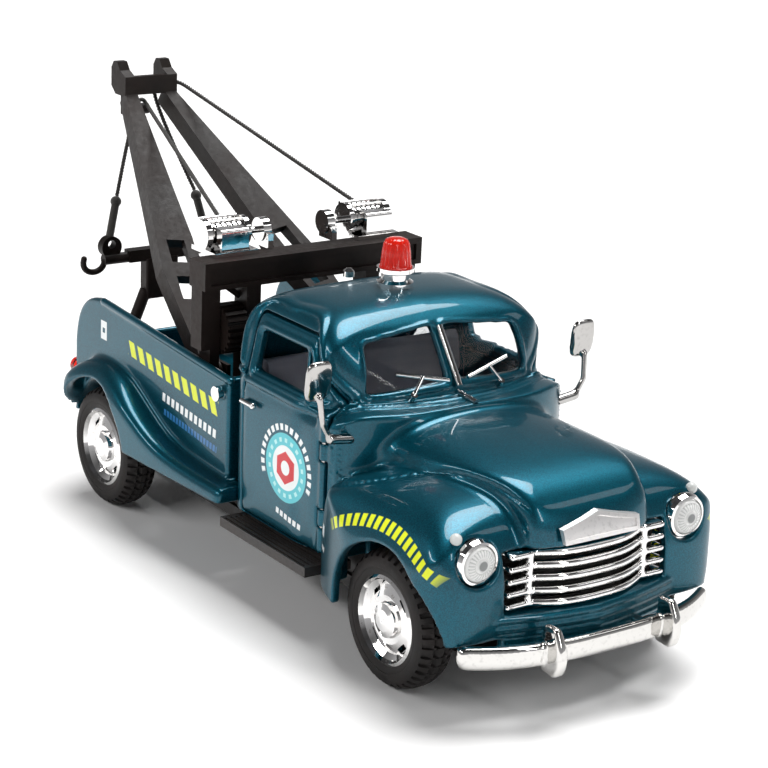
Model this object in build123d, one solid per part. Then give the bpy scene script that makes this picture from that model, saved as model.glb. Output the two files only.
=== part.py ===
"""Toy tow truck, diecast and plastic, about 1:38.

Frame: +X forward, +Y to the vehicle's left, +Z up, millimetres. The origin lies
under the middle of the truck, on the surface that the tyres stand on.
"""
import os
from math import cos, degrees, pi, radians, sin, tan

from build123d import *

# ---------------------------------------------------------------- driving dimensions
HALF_LENGTH = 64.2          # bumper guards to the tail of the boom head, halved
FRONT_AXLE_X = 42.0
WHEELBASE = 77.5
REAR_AXLE_X = FRONT_AXLE_X - WHEELBASE
TYRE_RADIUS = 9.4
AXLE_Z = TYRE_RADIUS
TYRE_INNER_Y = 16.3
TYRE_OUTER_Y = 21.9
RIM_SEAT_RADIUS = 6.1
AXLE_RADIUS = 0.9
RUNNING_CLEARANCE = 0.05
FIT_GAP = 0.02              # hairline between pieces pressed or glued together

BODY_WALL = 1.3             # diecast wall thickness
HOLLOW_LOW_Z = 5.0          # the castings' hollows start here, below every sill
PANEL_GAP = 0.3             # gap round each door
CAB_REAR_X = -0.8
CAB_HALF_WIDTH = 20.0
BELT_Z = 31.6               # foot of the side windows
ROOF_Z = 44.4
SILL_Z = 11.4
DOOR_REAR_X = 3.5
HINGE_X = 23.4
HINGE_Y = 19.3
HINGE_PIN_RADIUS = 0.35
HINGE_BARREL_RADIUS = 0.68
HINGE_ROOM_RADIUS = 0.9     # clear of the other leaf's barrels
ARCH_RADIUS = 11.4
ARCH_X = 44.0
HEADLIGHT_Y = 17.3
HEADLIGHT_Z = 21.3
GRILLE_HALF_WIDTH = 9.5
RING_BACK_X = 54.4          # back face of the headlight rings
DOOR_KNUCKLES = [(12.0, 15.6), (18.4, 25.0), (27.8, 31.2)]
CAB_KNUCKLES = [(15.8, 18.2), (25.2, 27.6)]

BED_REAR_X = -49.0
BED_FRONT_X = -1.7
BED_HALF_WIDTH = 19.2
BED_FLOOR_Z = 17.0
BED_FLOOR_THICKNESS = 1.2
CHASSIS_TOP_Z = 8.2
CHASSIS_LOW_Z = 5.2
SCREW_PLACES = [(34.0, 0.0), (-45.6, 0.0)]
SCREW_BORE_RADIUS = 0.62
ARCH_REAR_X = REAR_AXLE_X - 0.3

DECK_TOP_Z = BED_FLOOR_Z + 1.3
BEAM_BACK_X = -13.5
BEAM_FRONT_X = -9.0
BEAM_HALF_WIDTH = 19.1
BEAM_LOW_Z = 40.6
BEAM_TOP_Z = 44.7
BOOM_FOOT = (-15.6, 14.2, 26.0)
BOOM_TIP = (-60.6, 3.5, 58.6)
WINCH_X = -15.6
WINCH_Z = 47.3
DRUM_GEAR_CENTRE = (-11.5, 34.0)
THREAD_DIAMETER = 0.7
LINK_EYE = (-56.6, 9.0, 35.4)  # centre of the disc that each thread's link meets
LINK_EYE_RADIUS = 1.8
BEACON_X = 11.0

GEAR_MODULE = 0.4
AXLE_GEAR_TEETH = 12
IDLER_TEETH = 18
SPRING_TEETH = 20
IDLER_X = REAR_AXLE_X + GEAR_MODULE * (AXLE_GEAR_TEETH + IDLER_TEETH) / 2
SPRING_X = IDLER_X + GEAR_MODULE * (IDLER_TEETH + SPRING_TEETH) / 2
ARBOR_RADIUS = 0.6
GEAR_Y = 2.6                # inner face of the motor's gears
GEAR_WIDTH = 1.6

SIDES = {"right": -1, "left": 1}


# ---------------------------------------------------------------- general helpers
def planar_face(runs, place):
    """Face whose edge follows the runs: two points make a line, more make a smooth curve."""
    edges = []
    for run in runs:
        points = [Vector(*place(a, b)) for a, b in run]
        if len(points) == 2:
            edges.append(Edge.make_line(points[0], points[1]))
        else:
            edges.append(Edge.make_spline(points))
    return Face(Wire(edges))


def crossing(point_1, along_1, point_2, along_2):
    """Where two lines of a plane meet, or the point midway if they hardly turn."""
    cross = along_1.X * along_2.Y - along_1.Y * along_2.X
    if abs(cross) < 0.05:
        return (point_1 + point_2) / 2
    gap = point_2 - point_1
    return point_1 + along_1 * ((gap.X * along_2.Y - gap.Y * along_2.X) / cross)


def inset_runs(runs, inset):
    """The outline's runs moved inwards by a distance, with their corners kept sharp."""
    if inset == 0:
        return runs
    corners = [Vector(a, b) for run in runs for a, b in run[:-1]]
    area = sum(p.X * q.Y - p.Y * q.X for p, q in zip(corners, corners[1:] + corners[:1]))
    turn = inset if area > 0 else -inset
    moved = []
    for run in runs:
        points = [Vector(a, b) for a, b in run]
        edge = Edge.make_line(*points) if len(points) == 2 else Edge.make_spline(points)
        count = 1 if len(points) == 2 else 2 * len(points)
        samples = []
        for index in range(count + 1):
            along = edge.tangent_at(index / count)
            place = edge.position_at(index / count) + Vector(-along.Y, along.X) * turn
            samples.append((place, along))
        moved.append(samples)
    result = []
    for index, samples in enumerate(moved):
        before, after = moved[index - 1], moved[(index + 1) % len(moved)]
        places = [place for place, along in samples]
        places[0] = crossing(*before[-1], *samples[0])
        places[-1] = crossing(*samples[-1], *after[0])
        result.append([(p.X, p.Y) for p in places])
    return result


def side_prism(runs, y_low, y_high, inset=0):
    """Solid with an (x, z) outline between two values of y."""
    face = planar_face(inset_runs(runs, inset), lambda a, b: (a, y_low, b))
    return extrude(face, amount=y_high - y_low, dir=(0, 1, 0))


def plan_prism(runs, z_low, z_high, inset=0):
    """Solid with an (x, y) outline between two values of z."""
    face = planar_face(inset_runs(runs, inset), lambda a, b: (a, b, z_low))
    return extrude(face, amount=z_high - z_low, dir=(0, 0, 1))


def section_prism(runs, x_low, x_high, inset=0):
    """Solid with a (y, z) outline between two values of x."""
    face = planar_face(inset_runs(runs, inset), lambda a, b: (x_low, a, b))
    return extrude(face, amount=x_high - x_low, dir=(1, 0, 0))


def closed(points):
    """Straight runs joining the points and closing on the first."""
    return [[points[i], points[(i + 1) % len(points)]] for i in range(len(points))]


def symmetric(half):
    """Runs for a closed (y, z) outline from its half with y positive."""
    runs = [list(run) for run in half]
    for run in reversed(half):
        runs.append([(-a, b) for a, b in reversed(run)])
    return runs


def symmetric_plan(half):
    """Runs for a closed (x, y) outline from its half with y positive."""
    runs = [list(run) for run in half]
    for run in reversed(half):
        runs.append([(a, -b) for a, b in reversed(run)])
    return runs


def block(x_low, x_high, y_low, y_high, z_low, z_high):
    """Box between corner values."""
    size = (x_high - x_low, y_high - y_low, z_high - z_low)
    centre = ((x_low + x_high) / 2, (y_low + y_high) / 2, (z_low + z_high) / 2)
    return Pos(*centre) * Box(*size)


def rod(start, end, radius):
    """Round bar between two points."""
    line = Vector(*end) - Vector(*start)
    return Plane(origin=start, z_dir=line) * Cylinder(
        radius, line.length, align=(Align.CENTER, Align.CENTER, Align.MIN))


def disc_y(x, y_low, y_high, z, radius):
    """Disc or cylinder with its axis along Y."""
    return rod((x, y_low, z), (x, y_high, z), radius)


def turned_y(profile, x, z):
    """Solid turned about a Y axis from (radius, y) points."""
    points = [(x + r, y, z) for r, y in profile]
    face = Face(Wire.make_polygon(points, close=True))
    return revolve(face, axis=Axis((x, 0, z), (0, 1, 0)))


def turned_x(profile, x, y, z):
    """Solid turned about an X axis from (radius, distance along) points."""
    points = [(x + along, y + r, z) for r, along in profile]
    face = Face(Wire.make_polygon(points, close=True))
    return revolve(face, axis=Axis((x, y, z), (1, 0, 0)))


def turned_z(profile, x, y):
    """Solid turned about a vertical axis from (radius, z) points."""
    points = [(x + r, y, z) for r, z in profile]
    face = Face(Wire.make_polygon(points, close=True))
    return revolve(face, axis=Axis((x, y, 0), (0, 0, 1)))


def mirrored(shape):
    """The shape with its twin on the other side of the truck."""
    return shape + mirror(shape, about=Plane.XZ)


def on_side(shape, side):
    """A shape drawn on the left side, moved to the named side."""
    return shape if SIDES[side] > 0 else mirror(shape, about=Plane.XZ)


def rounded_block(x_low, x_high, y_low, y_high, z_low, z_high, radius, axis=Axis.Z):
    """Box with its edges along one axis rounded."""
    shape = block(x_low, x_high, y_low, y_high, z_low, z_high)
    return fillet(shape.edges().filter_by(axis), radius)


# ---------------------------------------------------------------- cab, hood and fenders
def cab_solid(inset=0, low=SILL_Z):
    """Cab with its dome roof, upright back and sloping windshield."""
    side = [[(CAB_REAR_X, low), (CAB_REAR_X, 37.0)],
            [(CAB_REAR_X, 37.0), (0.3, 41.2), (4.0, 43.5), (BEACON_X, ROOF_Z), (17.0, 43.7),
             (21.0, 41.5)],
            [(21.0, 41.5), (27.4, 33.0)],
            [(27.4, 33.0), (27.4, low)],
            [(27.4, low), (CAB_REAR_X, low)]]
    plan = symmetric_plan([[(27.4, 0.0), (26.3, 7.0), (24.4, 13.0), (21.5, 17.6), (16.0, CAB_HALF_WIDTH)],
                           [(16.0, CAB_HALF_WIDTH), (4.5, CAB_HALF_WIDTH)],
                           [(4.5, CAB_HALF_WIDTH), (0.8, 18.6), (CAB_REAR_X, 15.0)],
                           [(CAB_REAR_X, 15.0), (CAB_REAR_X, 0.0)]])
    section = symmetric([[(0.0, low), (19.6, low)],
                         [(19.6, low), (CAB_HALF_WIDTH, 18.0), (CAB_HALF_WIDTH, 27.0), (19.6, BELT_Z),
                          (18.6, 36.0), (17.2, 40.4), (14.8, 42.4), (10.0, 43.7), (0.0, ROOF_Z)]])
    return (side_prism(side, -25, 25, inset) & plan_prism(plan, low - 1, 50, inset)
            & section_prism(section, -10, 40, inset))


def lower_cab(inset=0, low=SILL_Z):
    """Cab below the windows, full width as far as the cowl."""
    side = [[(CAB_REAR_X, low), (CAB_REAR_X, 33.2)],
            [(CAB_REAR_X, 33.2), (31.4, 32.8)],
            [(31.4, 32.8), (31.4, low)],
            [(31.4, low), (CAB_REAR_X, low)]]
    plan = symmetric_plan([[(31.4, 0.0), (30.8, 10.0), (29.0, 15.4), (26.4, 18.6), (21.0, CAB_HALF_WIDTH)],
                           [(21.0, CAB_HALF_WIDTH), (4.5, CAB_HALF_WIDTH)],
                           [(4.5, CAB_HALF_WIDTH), (0.8, 18.6), (CAB_REAR_X, 15.0)],
                           [(CAB_REAR_X, 15.0), (CAB_REAR_X, 0.0)]])
    section = symmetric([[(0.0, low), (19.6, low)],
                         [(19.6, low), (CAB_HALF_WIDTH, 18.0), (CAB_HALF_WIDTH, 27.0), (19.5, 30.0),
                          (17.6, 31.8), (12.0, 32.7), (0.0, 32.9)]])
    return (side_prism(side, -25, 25, inset) & plan_prism(plan, low - 1, 50, inset)
            & section_prism(section, -10, 40, inset))


def hood_solid(inset=0, low=11.6):
    """Hood that narrows and drops to a blunt rounded nose."""
    side = [[(18.0, low), (18.0, 32.4)],
            [(18.0, 32.4), (28.0, 32.2), (40.0, 31.6), (48.0, 30.6), (53.5, 28.9), (57.0, 25.6),
             (58.4, 21.0)],
            [(58.4, 21.0), (59.2, low)],
            [(59.2, low), (18.0, low)]]
    plan = symmetric_plan([[(59.4, 0.0), (58.6, 5.0), (56.6, 9.6)],
                           [(56.6, 9.6), (40.0, 13.0)],
                           [(40.0, 13.0), (18.0, 15.4)],
                           [(18.0, 15.4), (18.0, 0.0)]])
    section = symmetric([[(0.0, low), (15.6, low)],
                         [(15.6, low), (15.0, 24.0)],
                         [(15.0, 24.0), (13.2, 28.2), (9.0, 30.9), (4.0, 32.1), (0.0, 32.4)]])
    return (side_prism(side, -25, 25, inset) & plan_prism(plan, low - 1, 50, inset)
            & section_prism(section, 10, 70, inset))


def front_fender(inset=0, low=8.6):
    """Left front fender with its crown over the wheel and a rounded nose."""
    side = [[(24.6, low), (24.6, 17.5)],
            [(24.6, 17.5), (27.5, 23.4), (34.0, 26.6), (42.0, 28.2), (49.6, 27.2), (53.6, 24.6),
             (56.6, 18.0)],
            [(56.6, 18.0), (57.0, low)],
            [(57.0, low), (24.6, low)]]
    plan = [[(24.6, 9.0), (24.6, 20.4)],
            [(24.6, 20.4), (30.0, 22.6), (37.0, 24.1), (45.0, 24.4), (51.0, 24.0), (55.4, 22.0),
             (57.6, 17.5), (57.4, 12.0)],
            [(57.4, 12.0), (57.0, 9.0)],
            [(57.0, 9.0), (24.6, 9.0)]]
    section = [[(9.0, low), (9.0, 28.4)],
               [(9.0, 28.4), (15.0, 27.4), (20.0, 25.4), (23.2, 21.6), (24.4, 15.5)],
               [(24.4, 15.5), (24.2, low)],
               [(24.2, low), (9.0, low)]]
    return (side_prism(side, 0, 30, inset) & plan_prism(plan, low - 1, 50, inset)
            & section_prism(section, 10, 70, inset))


def front_valance():
    """Apron that joins the fenders under the grille."""
    plan = symmetric_plan([[(59.6, 0.0), (58.6, 7.0), (57.0, 13.5), (55.0, 20.4)],
                           [(55.0, 20.4), (51.0, 20.4)],
                           [(51.0, 20.4), (51.0, 0.0)]])
    return plan_prism(plan, 9.4, 13.6)


def nose_cutters():
    """Grille mouth, headlight buckets, wheel arches and room for the bumper's brackets and the steps."""
    mouth = block(50.0, 62.0, -10.0, 10.0, 13.9, 22.0)
    wings = mirrored(block(50.0, 62.0, 9.0, 13.4, 13.9, 21.8))
    bucket = rod((50.0, HEADLIGHT_Y, HEADLIGHT_Z), (62.0, HEADLIGHT_Y, HEADLIGHT_Z), 2.65)
    seat = rod((RING_BACK_X - FIT_GAP, HEADLIGHT_Y, HEADLIGHT_Z), (62.0, HEADLIGHT_Y, HEADLIGHT_Z),
               3.1 + FIT_GAP)
    arch = disc_y(ARCH_X, 13.6, 26.0, AXLE_Z, ARCH_RADIUS)
    fender_front = block(52.0, 62.0, 13.6, 26.0, 0.0, 10.7)
    bracket_room = bumper_bracket(0.04)
    step_room = block(0.0, 24.6, 16.5, 26.0, 0.0, 10.75)
    return mouth + wings + mirrored(bucket + seat + arch + fender_front + bracket_room + step_room)


def window_prism():
    """Clear opening of the left door's window."""
    outline = closed([(5.2, 32.9), (5.0, 38.6), (17.3, 38.6), (21.6, 32.9)])
    return side_prism(outline, 10, 30)


def door_outline(inset=0):
    """Prism that a door fills, up to its hinge line."""
    outline = closed([(DOOR_REAR_X, SILL_Z + 0.4), (DOOR_REAR_X, 40.6), (17.8, 40.6),
                      (HINGE_X, BELT_Z), (HINGE_X, SILL_Z + 0.4)])
    return side_prism(outline, 12, 30, inset)


def windshield_prism():
    """Windshield opening: two panes either side of the centre bar."""
    pane = closed([(1.1, 34.4), (13.4, 33.6), (12.7, 40.0), (0.8, 41.1)])
    return mirrored(section_prism(pane, 16, 32))


def rear_window_prism(inset=0):
    """Rear window opening in the cab's back."""
    half = 8.5 - inset
    opening = block(CAB_REAR_X - 3, CAB_REAR_X + 5, -half, half, 34.0 + inset, 39.6 - inset)
    return fillet(opening.edges().filter_by(Axis.X), 1.2)


def front_shell():
    """Outer form of the cab, hood and fenders, and the hollow inside it."""
    outer = cab_solid() + lower_cab() + hood_solid() + mirrored(front_fender()) + front_valance()
    inner = cab_solid(BODY_WALL, HOLLOW_LOW_Z) + lower_cab(BODY_WALL, HOLLOW_LOW_Z)
    inner = inner + hood_solid(BODY_WALL, HOLLOW_LOW_Z) + mirrored(front_fender(BODY_WALL, HOLLOW_LOW_Z))
    return outer, inner


def hinge_bore(clearance):
    """Cutter for the left hinge's bore."""
    return rod((HINGE_X, HINGE_Y, 5.0), (HINGE_X, HINGE_Y, 40.0), HINGE_PIN_RADIUS + clearance)


def knuckles(spans, radius, grow=0.0):
    """Barrels on the left hinge line, one for each span of height."""
    barrels = [rod((HINGE_X, HINGE_Y, low - grow), (HINGE_X, HINGE_Y, high + grow), radius)
               for low, high in spans]
    return sum(barrels[1:], barrels[0])


def cab_body(outer, inner):
    """Cab, hood and front fenders as one casting."""
    shell = outer - inner - nose_cutters() - windshield_prism() - rear_window_prism()
    shell = shell - mirrored(door_outline(-PANEL_GAP))
    barrel_room = knuckles([(DOOR_KNUCKLES[0][0], DOOR_KNUCKLES[-1][1])], HINGE_ROOM_RADIUS, 0.2)
    shell = shell - mirrored(barrel_room)
    lugs = knuckles(CAB_KNUCKLES, HINGE_BARREL_RADIUS)
    for low, high in CAB_KNUCKLES:
        lugs = lugs + block(HINGE_X, 25.4, HINGE_Y - 0.5, HINGE_Y + 0.15, low, high)
    lugs = lugs - hinge_bore(FIT_GAP)
    firewall = block(25.4, 26.5, -13.5, 13.5, 11.4, 32.0)
    pillar = block(25.0, 26.0, 13.0, 19.2, 11.5, 29.5)
    return shell + mirrored(lugs + pillar) + firewall


def door(outer, inner, side):
    """Door with its window frame and the barrels it turns on."""
    panel = (outer - inner) & door_outline()
    panel = panel - window_prism()
    rail = block(HINGE_X - 1.6, HINGE_X, HINGE_Y - 0.66, HINGE_Y + 0.5, SILL_Z + 0.6, 31.2)
    notches = knuckles(CAB_KNUCKLES, HINGE_ROOM_RADIUS, 0.15)
    vent_bar = rod((18.9, 19.3, 32.0), (16.2, 17.2, 39.4), 0.35)
    shape = panel + rail + vent_bar - notches + knuckles(DOOR_KNUCKLES, HINGE_BARREL_RADIUS)
    return on_side(shape - hinge_bore(RUNNING_CLEARANCE), side)


def door_handle(side):
    """Chrome pull on two short feet."""
    y, z = 20.75, 28.4
    grip = rod((4.3, y, z), (7.3, y, z), 0.38)
    feet = disc_y(4.8, y - 0.8, y, z, 0.3) + disc_y(6.8, y - 0.8, y, z, 0.3)
    ball = Pos(7.3, y, z) * Sphere(0.5)
    return on_side(grip + feet + ball, side)


def glass_pane(window):
    """Clear sheet 0.57 mm thick that lines the cab's inside over a window opening."""
    layer = cab_solid(BODY_WALL + 0.03, HOLLOW_LOW_Z) - cab_solid(BODY_WALL + 0.6, HOLLOW_LOW_Z)
    return layer & window


def windshield_glass():
    """One sheet behind both windshield panes."""
    outline = closed([(-14.4, 33.4), (14.4, 33.4), (13.6, 41.0), (0.0, 42.0), (-13.6, 41.0)])
    return glass_pane(section_prism(outline, 14, 32))


def cabin_room():
    """Room inside the cab, a little in from its walls."""
    return cab_solid(BODY_WALL + 0.1, HOLLOW_LOW_Z) + lower_cab(BODY_WALL + 0.1, HOLLOW_LOW_Z)


def hinge_pins():
    """The two steel pins that the doors turn on."""
    return mirrored(rod((HINGE_X, HINGE_Y, 12.2), (HINGE_X, HINGE_Y, 31.0), HINGE_PIN_RADIUS))


# ---------------------------------------------------------------- bed
def bed_side_outline(low=12.0):
    """(x, z) outline of the bed side, rounded up at the back."""
    return [[(BED_REAR_X, low), (BED_REAR_X, 23.0)],
            [(BED_REAR_X, 23.0), (-47.6, 28.0), (-44.6, 30.8), (-40.0, 31.7)],
            [(-40.0, 31.7), (BED_FRONT_X, 29.4)],
            [(BED_FRONT_X, 29.4), (BED_FRONT_X, low)],
            [(BED_FRONT_X, low), (BED_REAR_X, low)]]


def rear_fender(inset=0, low=12.0):
    """Left rear fender with a skirt running forward along the bed."""
    side = [[(-47.0, low), (-46.6, 15.0), (-43.6, 20.6), (-38.0, 23.2), (-31.6, 22.3), (-25.0, 19.4),
             (-18.0, 16.2), (-8.0, 14.6), (1.8, 14.2)],
            [(1.8, 14.2), (1.8, low)],
            [(1.8, low), (-47.0, low)]]
    plan = [[(-47.2, 18.0), (-47.2, 20.0)],
            [(-47.2, 20.0), (-45.4, 23.2), (-41.0, 24.1), (-30.0, 24.1)],
            [(-30.0, 24.1), (-18.0, 23.6)],
            [(-18.0, 23.6), (1.8, 22.6)],
            [(1.8, 22.6), (1.8, 18.0)],
            [(1.8, 18.0), (-47.2, 18.0)]]
    section = [[(18.0, low), (18.0, 23.2)],
               [(18.0, 23.2), (20.6, 22.8), (22.9, 20.8), (24.1, 17.0)],
               [(24.1, 17.0), (24.1, low)],
               [(24.1, low), (18.0, low)]]
    return (side_prism(side, 0, 30, inset) & plan_prism(plan, low - 1, 50, inset)
            & section_prism(section, -60, 10, inset))


def bed_body():
    """Pickup bed, floor and rear fenders as one casting."""
    outer = side_prism(bed_side_outline(), -BED_HALF_WIDTH, BED_HALF_WIDTH)
    half = BED_HALF_WIDTH - BODY_WALL
    well = block(BED_REAR_X - 1, BED_FRONT_X - 1.4, -half, half, BED_FLOOR_Z, 50)
    underside = block(BED_REAR_X - 1, BED_FRONT_X - 1.4, -half, half, 0, BED_FLOOR_Z - BED_FLOOR_THICKNESS)
    fender = rear_fender() - (rear_fender(BODY_WALL, 8.0) - block(-60, 10, 17, 19.9, 0, 40))
    arch = disc_y(ARCH_REAR_X, 13.0, 30.0, AXLE_Z, ARCH_RADIUS - 0.3)
    shell = outer - well - underside + mirrored(fender)
    arch_roof = disc_y(ARCH_REAR_X, 15.2, BED_HALF_WIDTH - 1, AXLE_Z, ARCH_RADIUS + 0.6)
    housing = arch_roof & block(-60, 0, 14, 20, 12.0, 40)
    rail_y = BED_HALF_WIDTH - 0.3
    rolled_rail = rod((-40.0, rail_y, 31.5), (BED_FRONT_X, rail_y, 29.2), 0.55)
    shape = shell + mirrored(housing) - mirrored(arch) + mirrored(rolled_rail)
    gap = -PANEL_GAP / 2
    return shape - lower_cab(gap, HOLLOW_LOW_Z) - cab_solid(gap, HOLLOW_LOW_Z)


def tailgate():
    """Flat tailgate with two pressed ribs."""
    inner_y = BED_HALF_WIDTH - BODY_WALL - 0.15
    panel = block(BED_REAR_X + 0.1, BED_REAR_X + 1.1, -inner_y, inner_y, BED_FLOOR_Z + 0.1, 22.6)
    rail = rod((BED_REAR_X + 0.6, -inner_y, 22.4), (BED_REAR_X + 0.6, inner_y, 22.4), 0.6)
    ribs = block(BED_REAR_X - 0.25, BED_REAR_X + 0.2, -13.5, 13.5, 18.9, 19.4)
    ribs = ribs + block(BED_REAR_X - 0.25, BED_REAR_X + 0.2, -13.5, 13.5, 20.5, 21.0)
    return panel + rail + ribs


# ---------------------------------------------------------------- glass, trim and interior
def windshield_divider():
    """Chrome bar between the two panes."""
    return rod((27.25, 0, 34.0), (21.9, 0, 41.2), 0.42)


def wipers():
    """Two wipers with blades and arms."""
    blade = rod((26.9, 1.6, 34.9), (25.2, 9.4, 36.4), 0.28)
    arm = rod((26.9, 7.4, 33.6), (26.3, 5.6, 35.9), 0.24)
    foot = rod((26.2, 7.4, 32.6), (27.0, 7.4, 33.7), 0.5)
    return mirrored(blade + arm + foot)


def inside_mirror():
    """Small mirror hung from the windshield header."""
    stalk = rod((18.9, 0, 42.4), (18.3, 0, 40.6), 0.3)
    return stalk + rounded_block(17.7, 18.5, -2.6, 2.6, 39.1, 40.7, 0.25, Axis.X)


def interior_tub():
    """Floor, bench seat and dashboard in one moulding."""
    half = 17.3
    floor = block(2.0, 24.9, -half, half, 13.0, 14.2)
    cushion = rounded_block(3.2, 13.0, -16.6, 16.6, 17.2, 22.4, 1.6, Axis.Y)
    base = block(3.4, 12.4, -16.2, 16.2, 14.2, 17.2)
    back = Pos(4.0, 0, 27.6) * Rot(0, -8, 0) * Box(2.6, 33.2, 12.0)
    back = fillet(back.edges().filter_by(Axis.Y), 1.1)
    dash = rounded_block(21.2, 24.9, -half + 0.4, half - 0.4, 25.2, 30.6, 1.2, Axis.Y)
    toe_board = block(23.7, 24.9, -half, half, 14.0, 25.4)
    return floor + cushion + base + back + dash + toe_board


def steering_wheel():
    """Wheel rim, two spokes and column on the left."""
    place = Pos(18.0, 8.5, 28.0) * Rot(0, -62, 0)
    rim = Torus(3.3, 0.38)
    spokes = Rot(90, 0, 0) * Cylinder(0.3, 6.6)
    hub = Cylinder(0.8, 0.9)
    column = Pos(0, 0, -1.9) * Cylinder(0.45, 3.0)
    return place * (rim + spokes + hub + column)


def grille_bar(z, outer_x, thick):
    """One chrome bar bowed forward between the end posts."""
    y = GRILLE_HALF_WIDTH
    lead = [[(outer_x - 2.4, -y), (outer_x - 0.5, -y * 0.55), (outer_x, 0.0), (outer_x - 0.5, y * 0.55),
             (outer_x - 2.4, y)],
            [(outer_x - 2.4, y), (outer_x - 4.0, y)],
            [(outer_x - 4.0, y), (outer_x - 2.1, y * 0.55), (outer_x - 1.6, 0.0), (outer_x - 2.1, -y * 0.55),
             (outer_x - 4.0, -y)],
            [(outer_x - 4.0, -y), (outer_x - 2.4, -y)]]
    return plan_prism(lead, z - thick / 2, z + thick / 2)


def grille():
    """Five bowed bars, two end posts and short side bars."""
    post = block(54.0, 56.4, GRILLE_HALF_WIDTH - 0.5, GRILLE_HALF_WIDTH + 0.4, 14.2, 21.8)
    corners = block(53.9, 54.7, 8.9, 13.0, 14.2, 15.0) + block(53.9, 54.7, 8.9, 12.6, 20.4, 21.4)
    shape = mirrored(post + corners)
    for index in range(5):
        z = 14.6 + index * 1.68
        side_bar = block(54.0, 56.6, GRILLE_HALF_WIDTH - 0.2, 13.2 - 0.1 * index, z - 0.35, z + 0.35)
        shape = shape + grille_bar(z, 58.9 - index * 0.12, 0.9) + mirrored(side_bar)
    return shape


def grille_backing():
    """Black mesh plate behind the bars."""
    plate = block(52.6, 53.7, -13.2, 13.2, 14.0, 21.5)
    slits = block(53.4, 54.0, -13.0, 13.0, 0, 0.3)
    for index in range(8):
        plate = plate - Pos(0, 0, 14.4 + index) * slits
    return plate


def headlight_rings():
    """Chrome bezel round each headlight."""
    profile = [(2.55, 0.0), (2.9, 0.0), (3.1, 0.3), (3.1, 0.8), (2.85, 1.4), (2.5, 1.5), (2.45, 1.1),
               (2.55, 0.9)]
    return mirrored(turned_x(profile, RING_BACK_X, HEADLIGHT_Y, HEADLIGHT_Z))


def headlight_lenses():
    """Clear domed lens inside each bezel."""
    profile = [(0.0, 0.7), (2.4, 0.7), (2.4, 1.3), (2.0, 1.7), (1.4, 2.0), (0.7, 2.2), (0.0, 2.25)]
    return mirrored(turned_x(profile, RING_BACK_X, HEADLIGHT_Y, HEADLIGHT_Z))


def bumper_band(depth, z_low, z_high):
    """Bowed band along the bumper's front line, of a depth towards the back."""
    front = [(62.2, 0.0), (61.7, 9.5), (60.0, 16.0), (57.4, 20.8)]
    back = [(a - depth, b) for a, b in reversed(front)]
    return plan_prism(symmetric_plan([front, [front[-1], back[0]], back]), z_low, z_high)


def bumper_bracket(grow):
    """Left arm that carries the bumper, through the apron."""
    return block(50.4 - grow, 61.5 + grow, 6.0 - grow, 7.6 + grow, 8.6 - grow, 10.3 + grow)


def front_bumper():
    """Bowed blade bumper with a lip, two guards and two brackets."""
    blade = bumper_band(0.9, 8.0, 10.9)
    shelf = bumper_band(1.2, 10.4, 11.1)
    guard = closed([(60.4, 7.2), (63.4, 7.0), (HALF_LENGTH, 8.4), (HALF_LENGTH, 11.6), (62.6, 13.6),
                    (60.2, 13.4)])
    guard = fillet(side_prism(guard, 8.6, 10.5).edges().filter_by(Axis.Y), 0.4)
    return blade + shelf + mirrored(guard + bumper_bracket(0))


def nose_badge():
    """Plain chrome shield above the grille, with a raised rim."""
    outline = closed([(-6.1, 22.7), (6.1, 22.7), (6.3, 24.6), (2.4, 25.4), (0.0, 26.0), (-2.4, 25.4),
                      (-6.3, 24.6)])
    plate = section_prism(outline, 54.0, 60.0)
    skin = hood_solid(-0.75) - hood_solid(-FIT_GAP)
    inner = section_prism(outline, 54.0, 60.0, 0.5)
    return (plate & skin) - (inner & (hood_solid(-1.0) - hood_solid(-0.5)))


def hood_ornament():
    """Slim chrome spear on the hood's centre line."""
    return rod((26.6, 0, 33.1), (31.2, 0, 32.7), 0.42)


def parking_lamps():
    """Small clear lamps on the fenders, above the headlights."""
    body = Pos(53.7, 19.6, 24.3) * Sphere(0.8)
    return mirrored(body - front_fender(-FIT_GAP))


def side_mirrors():
    """Chrome mirrors on curved stalks."""
    head = fillet(Box(1.1, 4.0, 5.6).edges().filter_by(Axis.X), 1.2)
    rims = head.faces().sort_by(Axis.X)
    head = fillet(rims[0].edges() + rims[-1].edges(), 0.35)
    head = Pos(26.1, 22.4, 37.5) * Rot(0, 6, 0) * head
    knee = (27.1, 22.2, 31.8)
    stalk = rod((27.0, 20.9, 29.6), knee, 0.4) + rod(knee, (26.7, 22.6, 35.4), 0.4)
    elbow = Pos(*knee) * Sphere(0.4)
    foot = rod((27.0, 16.7, 29.0), (27.0, 21.1, 29.6), 0.75)
    return head + stalk + elbow + foot


def beacon_base():
    """Chrome pedestal of the roof beacon."""
    profile = [(0.0, 44.0), (2.6, 44.0), (2.6, 44.9), (2.0, 45.3), (2.0, 46.1), (2.7, 46.4), (2.7, 47.0),
               (0.0, 47.0)]
    return turned_z(profile, BEACON_X, 0.0)


def beacon_dome():
    """Red lens of the roof beacon."""
    profile = [(0.0, 47.02), (2.35, 47.02), (2.35, 47.5), (2.05, 47.8), (1.95, 50.4), (1.6, 51.0),
               (0.0, 51.2)]
    return turned_z(profile, BEACON_X, 0.0)


def roof_stud():
    """Small chrome marker on the back of the roof."""
    return turned_z([(0.0, 44.0), (0.8, 44.0), (0.8, 44.8), (0.4, 45.2), (0.0, 45.3)], 3.2, -2.6)


def filler_cap():
    """Fuel filler cap on the right side of the bed."""
    return disc_y(-3.6, -20.4, -19.25, 27.0, 1.1)


def tail_lamps():
    """Round lamp on a stalk at each back corner."""
    return mirrored(rod((-50.2, 18.2, 18.4), (-49.02, 18.2, 18.4), 1.3))


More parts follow.
